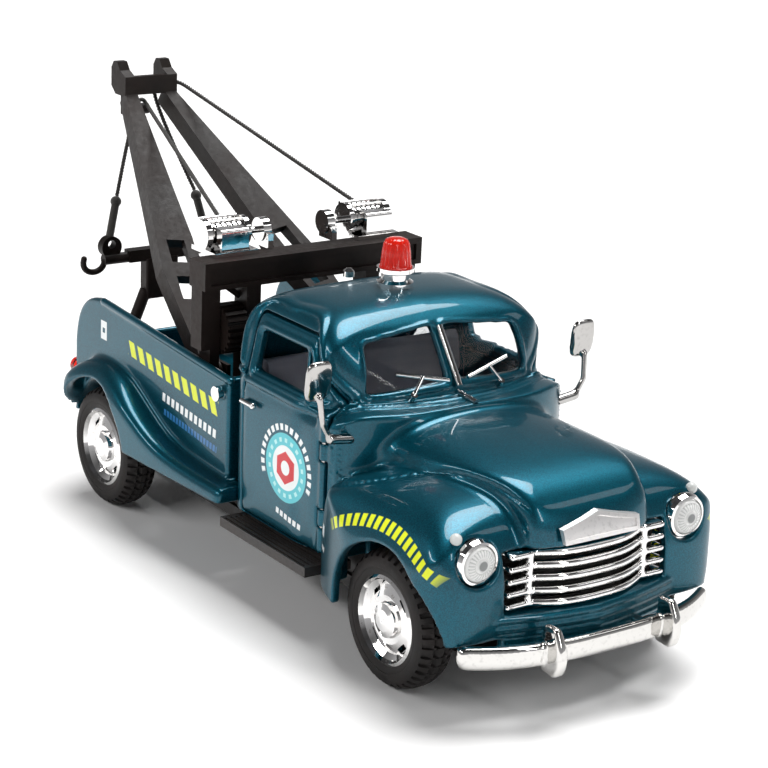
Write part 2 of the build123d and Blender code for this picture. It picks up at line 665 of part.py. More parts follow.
def running_boards():
    """Ribbed black step along each side, joined to the chassis by brackets."""
    board = block(2.2, 24.5, 17.6, 22.6, 9.2, 10.6)
    for index in range(5):
        board = board - block(3.0, 23.7, 18.6 + index * 0.85, 18.95 + index * 0.85, 10.2, 11.0)
    bracket = block(6.0, 9.0, 14.0, 17.8, 8.3, 9.6) + block(20.0, 23.0, 14.0, 17.8, 8.3, 9.6)
    return mirrored(board + bracket)


# ---------------------------------------------------------------- chassis, wheels and motor
def chassis_base():
    """Black baseplate with axle bearings, motor opening and a flat rest pad."""
    plate = block(-48.6, 52.0, -13.6, 13.6, CHASSIS_LOW_Z, CHASSIS_TOP_Z - 1.2)
    pad = block(-8.0, 16.0, -7.0, 7.0, 4.4, CHASSIS_LOW_Z + 0.2)
    rails = mirrored(block(-48.0, 50.0, 11.2, 13.0, CHASSIS_LOW_Z, 11.0))
    shape = plate + pad + rails
    shape = shape - block(-43.0, -14.0, -8.4, 8.4, 0, 20)
    for x in (FRONT_AXLE_X, REAR_AXLE_X):
        pillar = block(x - 2.6, x + 2.6, 9.6, 13.4, CHASSIS_LOW_Z, AXLE_Z + 2.2)
        shape = shape + mirrored(pillar)
    shape = shape + block(FRONT_AXLE_X - 4.0, FRONT_AXLE_X + 4.0, -9.0, 9.0, 4.6, 6.0)
    for x in (FRONT_AXLE_X, REAR_AXLE_X):
        shape = shape - disc_y(x, -14, 14, AXLE_Z, AXLE_RADIUS + RUNNING_CLEARANCE)
    shape = shape - block(FRONT_AXLE_X - 1.6, FRONT_AXLE_X + 1.6, -9.4, 9.4, 7.0, 20)
    for x, y in SCREW_PLACES:
        shape = shape - rod((x, y, 4.0), (x, y, 12.0), SCREW_BORE_RADIUS)
    tow_eye = block(-51.2, -48.2, -7.6, 7.6, 10.0, 12.6)
    return shape + tow_eye + mirrored(block(-49.0, -46.0, 5.6, 7.6, 6.4, 12.6))


def chassis_screws():
    """Pan-head screws that hold the baseplate to the castings."""
    shape = None
    for x, y in SCREW_PLACES:
        head = rod((x, y, CHASSIS_LOW_Z - 0.9), (x, y, CHASSIS_LOW_Z - FIT_GAP), 1.4)
        head = head - block(x - 1.1, x + 1.1, y - 0.18, y + 0.18, 0, CHASSIS_LOW_Z - 0.5)
        head = head - block(x - 0.18, x + 0.18, y - 1.1, y + 1.1, 0, CHASSIS_LOW_Z - 0.5)
        shank = rod((x, y, CHASSIS_LOW_Z - 0.1), (x, y, 11.0), 0.6)
        shape = head + shank if shape is None else shape + head + shank
    return shape


def screw_post(place, top):
    """Post cast under the hood or the bed floor, and the bore in it for its screw."""
    x, y = place
    post = rod((x, y, CHASSIS_TOP_Z - 1.1), (x, y, top), 1.7)
    return post, rod((x, y, 0), (x, y, 11.5), SCREW_BORE_RADIUS)


def tyre(x, side):
    """Rubber tyre with shoulder blocks and two tread grooves."""
    low, high = TYRE_INNER_Y, TYRE_OUTER_Y
    seat = RIM_SEAT_RADIUS + FIT_GAP
    profile = [(seat, low + 0.5), (7.4, low), (8.8, low + 0.35), (TYRE_RADIUS, low + 1.0),
               (TYRE_RADIUS, low + 2.2), (9.05, low + 2.3), (9.05, low + 2.6), (TYRE_RADIUS, low + 2.7),
               (TYRE_RADIUS, high - 1.0), (8.8, high - 0.35), (7.4, high), (seat, high - 0.5)]
    return on_side(turned_y(profile, x, AXLE_Z), side)


def rim(x, side):
    """Chrome wheel with a domed cap, dish and four slots near its edge."""
    low, high = TYRE_INNER_Y + 0.9, TYRE_OUTER_Y
    seat = RIM_SEAT_RADIUS
    profile = [(AXLE_RADIUS, low + 0.4), (2.4, low + 0.4), (2.4, low + 2.6), (5.0, low + 2.9), (5.3, low),
               (seat, low), (seat, high - 0.35), (5.7, high - 0.1), (5.4, high - 0.7), (4.7, high - 1.3),
               (3.3, high - 0.75), (2.5, high - 0.85), (2.3, high - 0.3), (1.5, high), (0.0, high + 0.15),
               (0.0, high - 1.6), (AXLE_RADIUS, high - 1.6)]
    shape = turned_y(profile, x, AXLE_Z)
    for index in range(4):
        angle = radians(45 + 90 * index)
        slot = Pos(x + 4.3 * cos(angle), high - 1.2, AXLE_Z + 4.3 * sin(angle)) * Rot(0, -degrees(angle), 0)
        shape = shape - slot * Box(0.7, 2.0, 1.8)
    return on_side(shape, side)


def axle(x):
    """Steel axle with both its ends pressed into the rims."""
    end = TYRE_OUTER_Y - 1.65
    return disc_y(x, -end, end, AXLE_Z, AXLE_RADIUS - FIT_GAP)


def spur_gear(x, teeth, phase, bore):
    """Spur gear at axle height with straight-flanked teeth, turned to a phase in degrees."""
    pitch = GEAR_MODULE * teeth / 2
    root = pitch - 1.2 * GEAR_MODULE
    tip = pitch + 0.95 * GEAR_MODULE
    points = []
    for index in range(teeth):
        centre = radians(phase) + 2 * pi * index / teeth
        for radius, half_width in ((root, 0.46), (pitch, 0.355), (tip, 0.17)):
            points.append((radius, centre - half_width * pi * GEAR_MODULE * 0.5 / radius))
        for radius, half_width in ((tip, 0.17), (pitch, 0.355), (root, 0.46)):
            points.append((radius, centre + half_width * pi * GEAR_MODULE * 0.5 / radius))
    outline = [(x + r * cos(a), GEAR_Y, AXLE_Z + r * sin(a)) for r, a in points]
    gear = extrude(Face(Wire.make_polygon(outline, close=True)), amount=GEAR_WIDTH, dir=(0, 1, 0))
    return gear - disc_y(x, GEAR_Y - 1, GEAR_Y + GEAR_WIDTH + 1, AXLE_Z, bore)


def axle_gear():
    """Steel pinion pressed on the rear axle."""
    gear = spur_gear(REAR_AXLE_X, AXLE_GEAR_TEETH, 0, AXLE_RADIUS)
    boss = disc_y(REAR_AXLE_X, GEAR_Y + GEAR_WIDTH, GEAR_Y + GEAR_WIDTH + 1.0, AXLE_Z, 1.5)
    return gear + (boss - disc_y(REAR_AXLE_X, 0, 9, AXLE_Z, AXLE_RADIUS))


def idler_gear():
    """Idler gear moulded with its own arbor."""
    gear = spur_gear(IDLER_X, IDLER_TEETH, 180 / IDLER_TEETH, ARBOR_RADIUS - 0.1)
    return gear + disc_y(IDLER_X, -6.0, 6.0, AXLE_Z, ARBOR_RADIUS)


def spring_gear():
    """Gear on the mainspring's arbor."""
    phase = 180 - 180 / SPRING_TEETH + spring_phase()
    gear = spur_gear(SPRING_X, SPRING_TEETH, phase, ARBOR_RADIUS - 0.1)
    return gear + disc_y(SPRING_X, -6.0, 6.0, AXLE_Z, ARBOR_RADIUS)


def spring_phase():
    """Extra turn that puts a gap of the spring gear opposite the idler's tooth."""
    idler_pitch = 360 / IDLER_TEETH
    tooth = (180 / IDLER_TEETH) % idler_pitch
    return (tooth if tooth < idler_pitch / 2 else tooth - idler_pitch) * -IDLER_TEETH / SPRING_TEETH


def mainspring():
    """Flat spiral spring wound on the arbor."""
    turns = 4
    inner, outer, strip = ARBOR_RADIUS + FIT_GAP, 3.9, 0.28
    steps = 20 * turns
    outside, inside = [], []
    for index in range(steps + 1):
        angle = 2 * pi * turns * index / steps
        radius = inner + (outer - inner - strip) * index / steps
        inside.append((radius, angle))
        outside.append((radius + strip, angle))
    outline = [(SPRING_X + r * cos(a), -1.8, AXLE_Z + r * sin(a)) for r, a in inside + outside[::-1]]
    return extrude(Face(Wire.make_polygon(outline, close=True)), amount=3.4, dir=(0, 1, 0))


def motor_case():
    """Closed case of the pull-back motor, with a bearing for each arbor."""
    low_x, high_x = REAR_AXLE_X - 4.6, SPRING_X + 6.0
    shell = rounded_block(low_x, high_x, -6.6, 6.6, 3.6, 15.2, 1.2, Axis.Y)
    hollow = block(low_x + 1, high_x - 1, -5.4, 5.4, 4.6, 14.2)
    shell = shell - hollow
    for x, radius in ((REAR_AXLE_X, AXLE_RADIUS), (IDLER_X, ARBOR_RADIUS), (SPRING_X, ARBOR_RADIUS)):
        shell = shell - disc_y(x, -7, 7, AXLE_Z, radius + RUNNING_CLEARANCE)
    feet = [block(x, x + 3, 6.4, 9.4, CHASSIS_TOP_Z - 1.2 + FIT_GAP, 8.2) for x in (low_x + 2, high_x - 5)]
    return shell + mirrored(feet[0] + feet[1])


# ---------------------------------------------------------------- crane
def crane_deck():
    """Plate on the bed floor with a clevis for each boom foot."""
    plate = block(-24.0, -6.0, -17.4, 17.4, BED_FLOOR_Z + FIT_GAP, DECK_TOP_Z)
    x, y, z = BOOM_FOOT
    cheek_outer = block(x - 1.4, x + 1.9, y + 1.95, y + 2.55, DECK_TOP_Z - 0.2, z + 1.4)
    cheek_inner = block(x - 1.4, x + 1.9, y - 2.55, y - 1.95, DECK_TOP_Z - 0.2, z + 1.4)
    pin_room = disc_y(x, y - 3.5, y + 3.5, z, 0.55 + FIT_GAP)
    return plate + mirrored(cheek_outer + cheek_inner - pin_room)


def mast_frame():
    """Cross beam on two outer posts and two inner legs, with braces."""
    beam = block(BEAM_BACK_X, BEAM_FRONT_X, -BEAM_HALF_WIDTH, BEAM_HALF_WIDTH, BEAM_LOW_Z, BEAM_TOP_Z)
    web = block(BEAM_FRONT_X - 0.5, BEAM_FRONT_X + 1, -BEAM_HALF_WIDTH + 1.0, BEAM_HALF_WIDTH - 1.0,
                BEAM_LOW_Z + 0.7, BEAM_TOP_Z - 0.9)
    hollow = block(BEAM_BACK_X + 1.0, BEAM_FRONT_X - 1.3, -BEAM_HALF_WIDTH + 1.2, BEAM_HALF_WIDTH - 1.2,
                   BEAM_LOW_Z - 1, BEAM_TOP_Z - 1.0)
    beam = beam - web - hollow
    post = block(-13.2, -10.2, 15.8, 17.4, DECK_TOP_Z + FIT_GAP, BEAM_LOW_Z + 0.3)
    post = post + block(-13.2, -10.2, 15.8, 18.9, 31.4, BEAM_LOW_Z + 0.3)
    leg = block(-13.0, -9.5, 9.3, 11.7, DECK_TOP_Z + FIT_GAP, BEAM_LOW_Z + 0.3)
    brace = rod((-12.0, 11.4, 38.4), (-12.0, 14.6, BEAM_LOW_Z + 0.2), 0.45)
    tie = block(-12.6, -10.2, -9.5, 9.5, 24.6, 26.2)
    shape = beam + tie + mirrored(post + leg + brace)
    return shape - mirrored(disc_y(DRUM_GEAR_CENTRE[0], 8.0, 18.0, DRUM_GEAR_CENTRE[1], 0.62))


def drum_gear(side):
    """Toothed cable drum between an outer post and an inner leg, with its pin."""
    x, z = DRUM_GEAR_CENTRE
    radius = 3.7
    shape = disc_y(x, 12.0, 15.5, z, radius - 0.45)
    teeth = 22
    for index in range(teeth):
        angle = 2 * pi * index / teeth
        tooth = Pos(x + (radius - 0.3) * cos(angle), 13.75, z + (radius - 0.3) * sin(angle))
        shape = shape + tooth * Rot(0, -degrees(angle), 0) * Box(0.7, 3.5, 0.5)
    boss = disc_y(x, 15.4, 15.7, z, 1.3)
    pin = disc_y(x, 9.4, 17.3, z, 0.6)
    recess = disc_y(x, 15.2, 16.0, z + 2.2, 0.5)
    return on_side(shape + boss + pin - recess, side)


def boom_frame():
    """Plane of the left boom: origin at its foot, X along it, Z to its upper face."""
    foot, tip = Vector(*BOOM_FOOT), Vector(*BOOM_TIP)
    along = (tip - foot).normalized()
    across = Vector(0, 1, 0)
    across = (across - along * across.dot(along)).normalized()
    normal = along.cross(across)
    if normal.Z < 0:
        normal = -normal
    return Plane(origin=foot, x_dir=along, z_dir=normal), (tip - foot).length


def boom_blank(length, inset):
    """Flat tapered bar 3 mm thick along X, its sides moved in by a distance."""
    widths = [(0.0, 1.35), (0.34, 3.5), (0.62, 2.4), (1.01, 0.95)]
    upper = [Vector(station * length, half - inset, 0) for station, half in widths]
    lower = [Vector(p.X, -p.Y, 0) for p in reversed(upper)]
    return extrude(Face(Wire.make_polygon(upper + lower, close=True)), amount=3.0, dir=(0, 0, 1))


def boom(side):
    """Tapered channel boom, widest near its middle, with slots and cross ribs."""
    plane, length = boom_frame()
    body = boom_blank(length, 0.0)
    core = boom_blank(length, 0.65) & block(0.1 * length, 0.9 * length, -9, 9, -1, 2.1)
    ribs = [block(station * length - 0.4, station * length + 0.4, -5, 5, 0.4, 2.6)
            for station in (0.2, 0.33, 0.46, 0.59, 0.72, 0.85)]
    body = body - core + (sum(ribs[1:], ribs[0]) & body)
    for start, end in ((0.23, 0.31), (0.36, 0.44)):
        body = body - block(start * length, end * length, -1.5, 1.5, -1, 5)
    shape = plane * Pos(0, 0, -1.5) * body
    x, y, z = BOOM_FOOT
    foot = disc_y(x, y - 1.45, y + 1.45, z, 1.7)
    pin = disc_y(x, y - 3.2, y + 3.2, z, 0.55)
    return on_side(shape + foot + pin, side)


def thread_route(side):
    """Points of the tow thread from its winch over the boom head to the sling."""
    if side == "right":
        return [(-17.6, -12.0, 49.3), (-61.7, -0.4, 58.5), (-63.5, -0.9, 56.9), (-59.3, -6.3, 43.0)]
    return [(-17.6, 12.0, 49.3), (-60.9, 5.9, 60.9), (-62.3, 3.6, 60.7), (-63.6, 1.7, 59.0),
            (-58.0, 7.6, 43.0)]


def thread(side):
    """Tow thread: straight runs joined by small arcs at the boom head."""
    points = [Vector(*p) for p in thread_route(side)]
    radii = []
    for before, here, after in zip(points, points[1:], points[2:]):
        turn = radians((here - before).get_angle(after - here))
        shorter = min((here - before).length, (after - here).length)
        radii.append(min(0.45 * shorter / tan(turn / 2), 4.0))
    path = FilletPolyline(*points, radius=radii)
    shape = sweep(Plane(origin=path @ 0, z_dir=path % 0) * Circle(THREAD_DIAMETER / 2), path=path)
    expected = pi * THREAD_DIAMETER ** 2 / 4 * path.length
    print(f"{side} thread: length {path.length:.1f}, volume {shape.volume:.2f} of {expected:.2f},",
          "radii", [round(radius, 1) for radius in radii])
    return shape


def boom_head():
    """Cross plate, two ears and the pin that the thread runs over."""
    x_back = -HALF_LENGTH
    ear = side_prism(closed([(x_back, 60.4), (x_back, 63.4), (-63.4, 64.5), (-62.2, 64.5), (-61.2, 63.2),
                             (-59.4, 62.4), (-59.4, 59.8), (-61.0, 59.2), (-62.8, 59.2)]), 3.0, 4.8)
    plate = block(-60.5, -59.4, -4.8, 4.8, 59.4, 62.4)
    shape = mirrored(ear) + plate
    hanger = block(-62.8, -61.0, -3.8, -2.2, 55.8, 60.2)
    pin = disc_y(-61.9, -2.4, 0.7, 56.6, 0.9)
    return shape + hanger + pin - thread_eye() - mirrored(boom("left"))


def thread_eye():
    """Room that the left thread takes through its ear of the boom head."""
    path = [Vector(*p) for p in thread_route("left")]
    step = (path[2] - path[1]).normalized()
    eye = rod(tuple(path[1] - step), tuple(path[2]), 0.6) + rod(tuple(path[2]), tuple(path[3]), 0.6)
    return eye + Pos(*path[2]) * Sphere(0.6)


def link_eye(radius):
    """Disc at the left link's eye, facing forward."""
    x, y, z = LINK_EYE
    return rod((x - 0.8, y, z), (x + 0.8, y, z), radius)


def tow_sling():
    """Tow frame: two legs, a centre block, and a cross bar with a hook at each end."""
    block_part = rounded_block(-57.4, -54.8, -3.0, 3.0, 26.2, 33.0, 0.5, Axis.Z)
    knee = (-56.2, 5.6, 20.0)
    leg = rod((-56.0, 2.6, 27.4), knee, 1.0) + rod(knee, (-51.4, 6.6, 11.9), 1.0)
    legs = mirrored(leg + Pos(*knee) * Sphere(1.0))
    bar = disc_y(-56.2, -10.4, 10.4, 33.4, 0.9) + block(-57.2, -55.2, -6.0, 6.0, 32.6, 34.6)
    hook_points = [(-56.2, 10.2, 33.4), (-56.2, 11.6, 31.6), (-56.2, 13.2, 31.8), (-56.2, 13.9, 33.9)]
    hook_path = Spline(*hook_points)
    hook = sweep(Plane(origin=hook_path @ 0, z_dir=hook_path % 0) * Circle(0.5), path=hook_path)
    eye = link_eye(LINK_EYE_RADIUS) - rod((-60, 9.0, 35.9), (-52, 9.0, 35.9), 0.7)
    shape = block_part + legs + bar + mirrored(hook + Pos(*hook_points[-1]) * Sphere(0.5) + eye)
    return shape - block(-51.22, -45, -9, 9, 5, 14)


def thread_links():
    """Knot and link that join each thread to the tow bar."""
    shape = None
    for side in SIDES:
        end = Vector(*thread_route(side)[-1])
        target = Vector(-56.8, 9.0 * SIDES[side], 36.7)
        step = (target - end).normalized()
        start = end + step * 0.05
        knot = Pos(*(start + step * 0.9)) * Sphere(0.9)
        cutter = rod(tuple(end - step * 3), tuple(start), 1.5)
        link = rod(tuple(start + step * 1.2), tuple(target), 0.65)
        piece = knot + link - cutter
        shape = piece if shape is None else shape + piece
    return shape - mirrored(link_eye(LINK_EYE_RADIUS + FIT_GAP))


def winch(side):
    """Chrome winch: base, drum between two cheeks, gear case and a slim cross shaft."""
    x, z = WINCH_X, WINCH_Z
    base = block(x - 2.4, x + 4.4, 8.8, 16.2, BEAM_TOP_Z + FIT_GAP, BEAM_TOP_Z + 0.7)
    drum = disc_y(x, 9.4, 15.4, z, 1.5)
    for low, high in ((8.8, 9.5), (15.3, 16.2)):
        drum = drum + disc_y(x, low, high, z, 2.3) + block(x - 1.6, x + 1.6, low, high, BEAM_TOP_Z + 0.2, z)
    for index in range(6):
        drum = drum + disc_y(x, 9.9 + index * 0.9, 10.35 + index * 0.9, z, 1.72)
    case = rounded_block(x + 1.4, x + 4.2, 10.4, 15.0, BEAM_TOP_Z + 0.5, z + 1.4, 0.6, Axis.Y)
    shaft = disc_y(x, 5.6, 9.0, z - 0.2, 0.5)
    clutch = disc_y(x, 5.0, 6.3, z - 0.2, 1.8)
    foot = block(x - 1.0, x + 2.6, 5.2, 6.1, BEAM_TOP_Z + FIT_GAP, z - 0.4)
    guide = rod((x - 1.6, 9.2, z + 1.9), (x - 1.6, 15.8, z + 1.9), 0.35)
    return on_side(base + drum + case + shaft + clutch + foot + guide, side)


# ---------------------------------------------------------------- assembly
def build():
    """All the nodes, by name."""
    outer, inner = front_shell()
    front_post, front_bore = screw_post(SCREW_PLACES[0], 31.0)
    rear_post, rear_bore = screw_post(SCREW_PLACES[1], BED_FLOOR_Z - 0.5)
    nodes = {}
    nodes["cab_body"] = cab_body(outer, inner) + front_post - front_bore
    nodes["bed_body"] = bed_body() + rear_post - rear_bore
    nodes["tailgate"] = tailgate()
    nodes["hinge_pins"] = hinge_pins()
    nodes["windshield_glass"] = windshield_glass()
    nodes["rear_glass"] = glass_pane(rear_window_prism(-0.8))
    nodes["windshield_divider"] = windshield_divider() - (outer - inner - windshield_prism())
    nodes["wipers"] = wipers() - outer
    nodes["inside_mirror"] = inside_mirror() & cab_solid(BODY_WALL + 0.7, HOLLOW_LOW_Z)
    nodes["interior_tub"] = interior_tub() & cabin_room()
    nodes["steering_wheel"] = steering_wheel()
    nodes["grille"] = grille()
    nodes["grille_backing"] = grille_backing()
    nodes["headlight_rings"] = headlight_rings()
    nodes["headlight_lenses"] = headlight_lenses()
    nodes["front_bumper"] = front_bumper()
    nodes["nose_badge"] = nose_badge()
    nodes["hood_ornament"] = hood_ornament() - outer
    nodes["parking_lamps"] = parking_lamps()
    nodes["side_mirrors"] = mirrored(side_mirrors()) - outer
    nodes["beacon_base"] = beacon_base() - outer
    nodes["beacon_dome"] = beacon_dome()
    nodes["roof_stud"] = roof_stud() - outer
    nodes["filler_cap"] = filler_cap()
    nodes["tail_lamps"] = tail_lamps()
    nodes["running_boards"] = running_boards()
    nodes["chassis_base"] = chassis_base()
    nodes["chassis_screws"] = chassis_screws()
    nodes["crane_deck"] = crane_deck()
    nodes["mast_frame"] = mast_frame()
    nodes["boom_head"] = boom_head()
    nodes["tow_sling"] = tow_sling()
    nodes["thread_links"] = thread_links()
    nodes["motor_case"] = motor_case()
    nodes["axle_gear"] = axle_gear()
    nodes["idler_gear"] = idler_gear()
    nodes["spring_gear"] = spring_gear()
    nodes["mainspring"] = mainspring()
    for side in SIDES:
        nodes[f"door_{side}"] = door(outer, inner, side)
        nodes[f"door_handle_{side}"] = door_handle(side)
        nodes[f"boom_{side}"] = boom(side) - thread_eye()
        nodes[f"winch_{side}"] = winch(side)
        nodes[f"drum_gear_{side}"] = drum_gear(side)
        nodes[f"tow_thread_{side}"] = thread(side)
        for end, x in (("front", FRONT_AXLE_X), ("rear", REAR_AXLE_X)):
            nodes[f"rim_{end}_{side}"] = rim(x, side)
            nodes[f"tyre_{end}_{side}"] = tyre(x, side)
    nodes["front_axle"] = axle(FRONT_AXLE_X)
    nodes["rear_axle"] = axle(REAR_AXLE_X)
    return nodes


os.makedirs("parts", exist_ok=True)
for name, shape in build().items():
    export_step(shape, f"parts/{name}.step")
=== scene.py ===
"""Toy tow truck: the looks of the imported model. Frame and places as in the CAD; sizes here are in mm."""
import math

import bmesh
import bpy
import numpy as np
import openvdb
from mathutils import Matrix, Vector


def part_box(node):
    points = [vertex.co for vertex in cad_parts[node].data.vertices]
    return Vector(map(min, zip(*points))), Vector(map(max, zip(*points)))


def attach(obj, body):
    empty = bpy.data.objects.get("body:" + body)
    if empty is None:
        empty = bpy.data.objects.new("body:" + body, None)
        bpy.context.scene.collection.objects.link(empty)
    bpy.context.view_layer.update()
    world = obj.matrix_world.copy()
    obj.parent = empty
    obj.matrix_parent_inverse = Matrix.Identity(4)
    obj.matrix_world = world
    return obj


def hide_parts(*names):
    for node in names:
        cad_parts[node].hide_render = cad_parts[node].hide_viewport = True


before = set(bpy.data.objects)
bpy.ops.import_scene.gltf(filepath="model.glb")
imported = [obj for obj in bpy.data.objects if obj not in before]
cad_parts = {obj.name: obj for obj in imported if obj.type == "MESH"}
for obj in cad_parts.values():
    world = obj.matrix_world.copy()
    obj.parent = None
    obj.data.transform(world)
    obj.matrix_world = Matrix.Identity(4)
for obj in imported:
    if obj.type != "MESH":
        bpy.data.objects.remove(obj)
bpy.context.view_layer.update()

MM = 0.001
VOXEL = 0.28        # spacing of the lattice that the castings are meshed on
BODY_WALL = 1.3
PANEL_GAP = 0.3
FRONT_AXLE_X, REAR_AXLE_X, AXLE_Z = 42.0, -35.5, 9.4
SILL_Z, BELT_Z = 11.4, 31.6
CAB_REAR_X = -0.8
HINGE_X, HINGE_Y = 23.4, 19.3
BED_REAR_X, BED_FRONT_X, BED_HALF_WIDTH, BED_FLOOR_Z = -49.0, -1.7, 19.2, 17.0
LAMP_Y, LAMP_Z = 17.3, 21.3
SIDES = (("right", -1), ("left", 1))
FAR = 1000.0
FIELD_LIMIT = 3.0                           # a field's values past this are cut off before it is meshed


# ---- outlines as fields of distance
def curve(points, steps=12):
    """Points along a natural cubic spline, without its last one. Two points make a straight line."""
    points = np.array(points, float)
    if len(points) == 2:
        return points[:-1]
    gaps = np.linalg.norm(np.diff(points, axis=0), axis=1)
    slopes = np.diff(points, axis=0) / gaps[:, None]
    system = np.eye(len(points))
    right = np.zeros_like(points)
    for i in range(1, len(points) - 1):
        system[i, i - 1:i + 2] = gaps[i - 1], 2 * (gaps[i - 1] + gaps[i]), gaps[i]
        right[i] = 6 * (slopes[i] - slopes[i - 1])
    bend = np.linalg.solve(system, right)
    result = []
    for i, gap in enumerate(gaps):
        for t in np.arange(steps) / steps:
            straight = points[i] * (1 - t) + points[i + 1] * t
            pull = ((1 - t) ** 3 - (1 - t)) * bend[i] + (t ** 3 - t) * bend[i + 1]
            result.append(straight + pull * gap * gap / 6)
    return np.array(result)


def outline(runs):
    """Closed loop of points through all the runs."""
    return np.concatenate([curve(run) for run in runs])


def path(*stretches):
    """Runs through all the stretches: a point ends a straight run, and a list of points a curved one."""
    runs, start = [], stretches[0]
    for stretch in stretches[1:]:
        points = stretch if isinstance(stretch, list) else [stretch]
        runs.append([start, *points])
        start = points[-1]
    return runs


def loop(*stretches):
    """A path that a straight run closes."""
    return path(*stretches, stretches[0])


def symmetric(*stretches):
    """Closed outline from the path of its half with the first coordinate positive."""
    half = path(*stretches)
    return half + [[(-a, b) for a, b in reversed(run)] for run in reversed(half)]


def symmetric_plan(*stretches):
    """Closed (x, y) outline from the path of its half with y positive."""
    half = path(*stretches)
    return half + [[(a, -b) for a, b in reversed(run)] for run in reversed(half)]


def distance_to_line(a, b, points, close=False):
    """Distance from each point of a plane's lattice to a line of points."""
    points = np.array(points, float)
    ends = np.roll(points, -1, axis=0) if close else points[1:]
    a, b = np.meshgrid(a, b, indexing="ij")
    nearest = np.full(a.shape, FAR ** 2)
    for (a1, b1), (a2, b2) in zip(points, ends):
        da, db = a2 - a1, b2 - b1
        along = np.clip(((a - a1) * da + (b - b1) * db) / (da * da + db * db + 1e-12), 0, 1)
        nearest = np.minimum(nearest, (a - a1 - along * da) ** 2 + (b - b1 - along * db) ** 2)
    return np.sqrt(nearest)


def flat_field(a, b, runs, round_by=0.0):
    """Signed distance to a closed outline, negative inside it, with its corners rounded a little."""
    rim = outline(runs)
    inside = np.zeros((len(a), len(b)), bool)
    for (a1, b1), (a2, b2) in zip(rim, np.roll(rim, -1, axis=0)):
        if b1 != b2:
            crossing = a1 + (b - b1) * (a2 - a1) / (b2 - b1)
            inside ^= ((b1 > b) != (b2 > b)) & (a[:, None] < crossing)
    field = distance_to_line(a, b, rim, close=True) * np.where(inside, -1, 1)
    return soften(field, round_by) if round_by else field


def soften(field, radius):
    """A plane's field blurred over a radius, which rounds its corners and leaves straight edges."""
    reach = max(1, int(round(radius * 2 / VOXEL)))
    weights = np.exp(-0.5 * (np.arange(-reach, reach + 1) * VOXEL * 2 / radius) ** 2)
    weights /= weights.sum()
    for axis in (0, 1):
        pad = [(reach, reach) if i == axis else (0, 0) for i in (0, 1)]
        padded = np.pad(field, pad, mode="reflect", reflect_type="odd")
        field = np.apply_along_axis(lambda row: np.convolve(row, weights, mode="valid"), axis, padded)
    return field


def smooth_max(radius, *fields):
    """What is inside all the fields, with the edges between them rounded."""
    result = fields[0]
    for field in fields[1:]:
        overlap = np.maximum(radius - np.abs(result - field), 0) / radius
        result = np.maximum(result, field) + overlap * overlap * radius / 4
    return result


def smooth_min(radius, *fields):
    """What is inside any of the fields, with fillets between them."""
    return -smooth_max(radius, *(-field for field in fields))


def between(value, low, high):
    """Field of the points where a value lies between two limits."""
    return np.maximum(low - value, value - high)


def groove(field, distance, radius):
    """Cuts a half-round groove into the surface along a line."""
    return np.maximum(field, radius - np.sqrt(field * field + distance * distance))


def bead(field, distance, radius):
    """Lays a half-round bead on the surface along a line."""
    return np.minimum(field, np.sqrt(field * field + distance * distance) - radius)


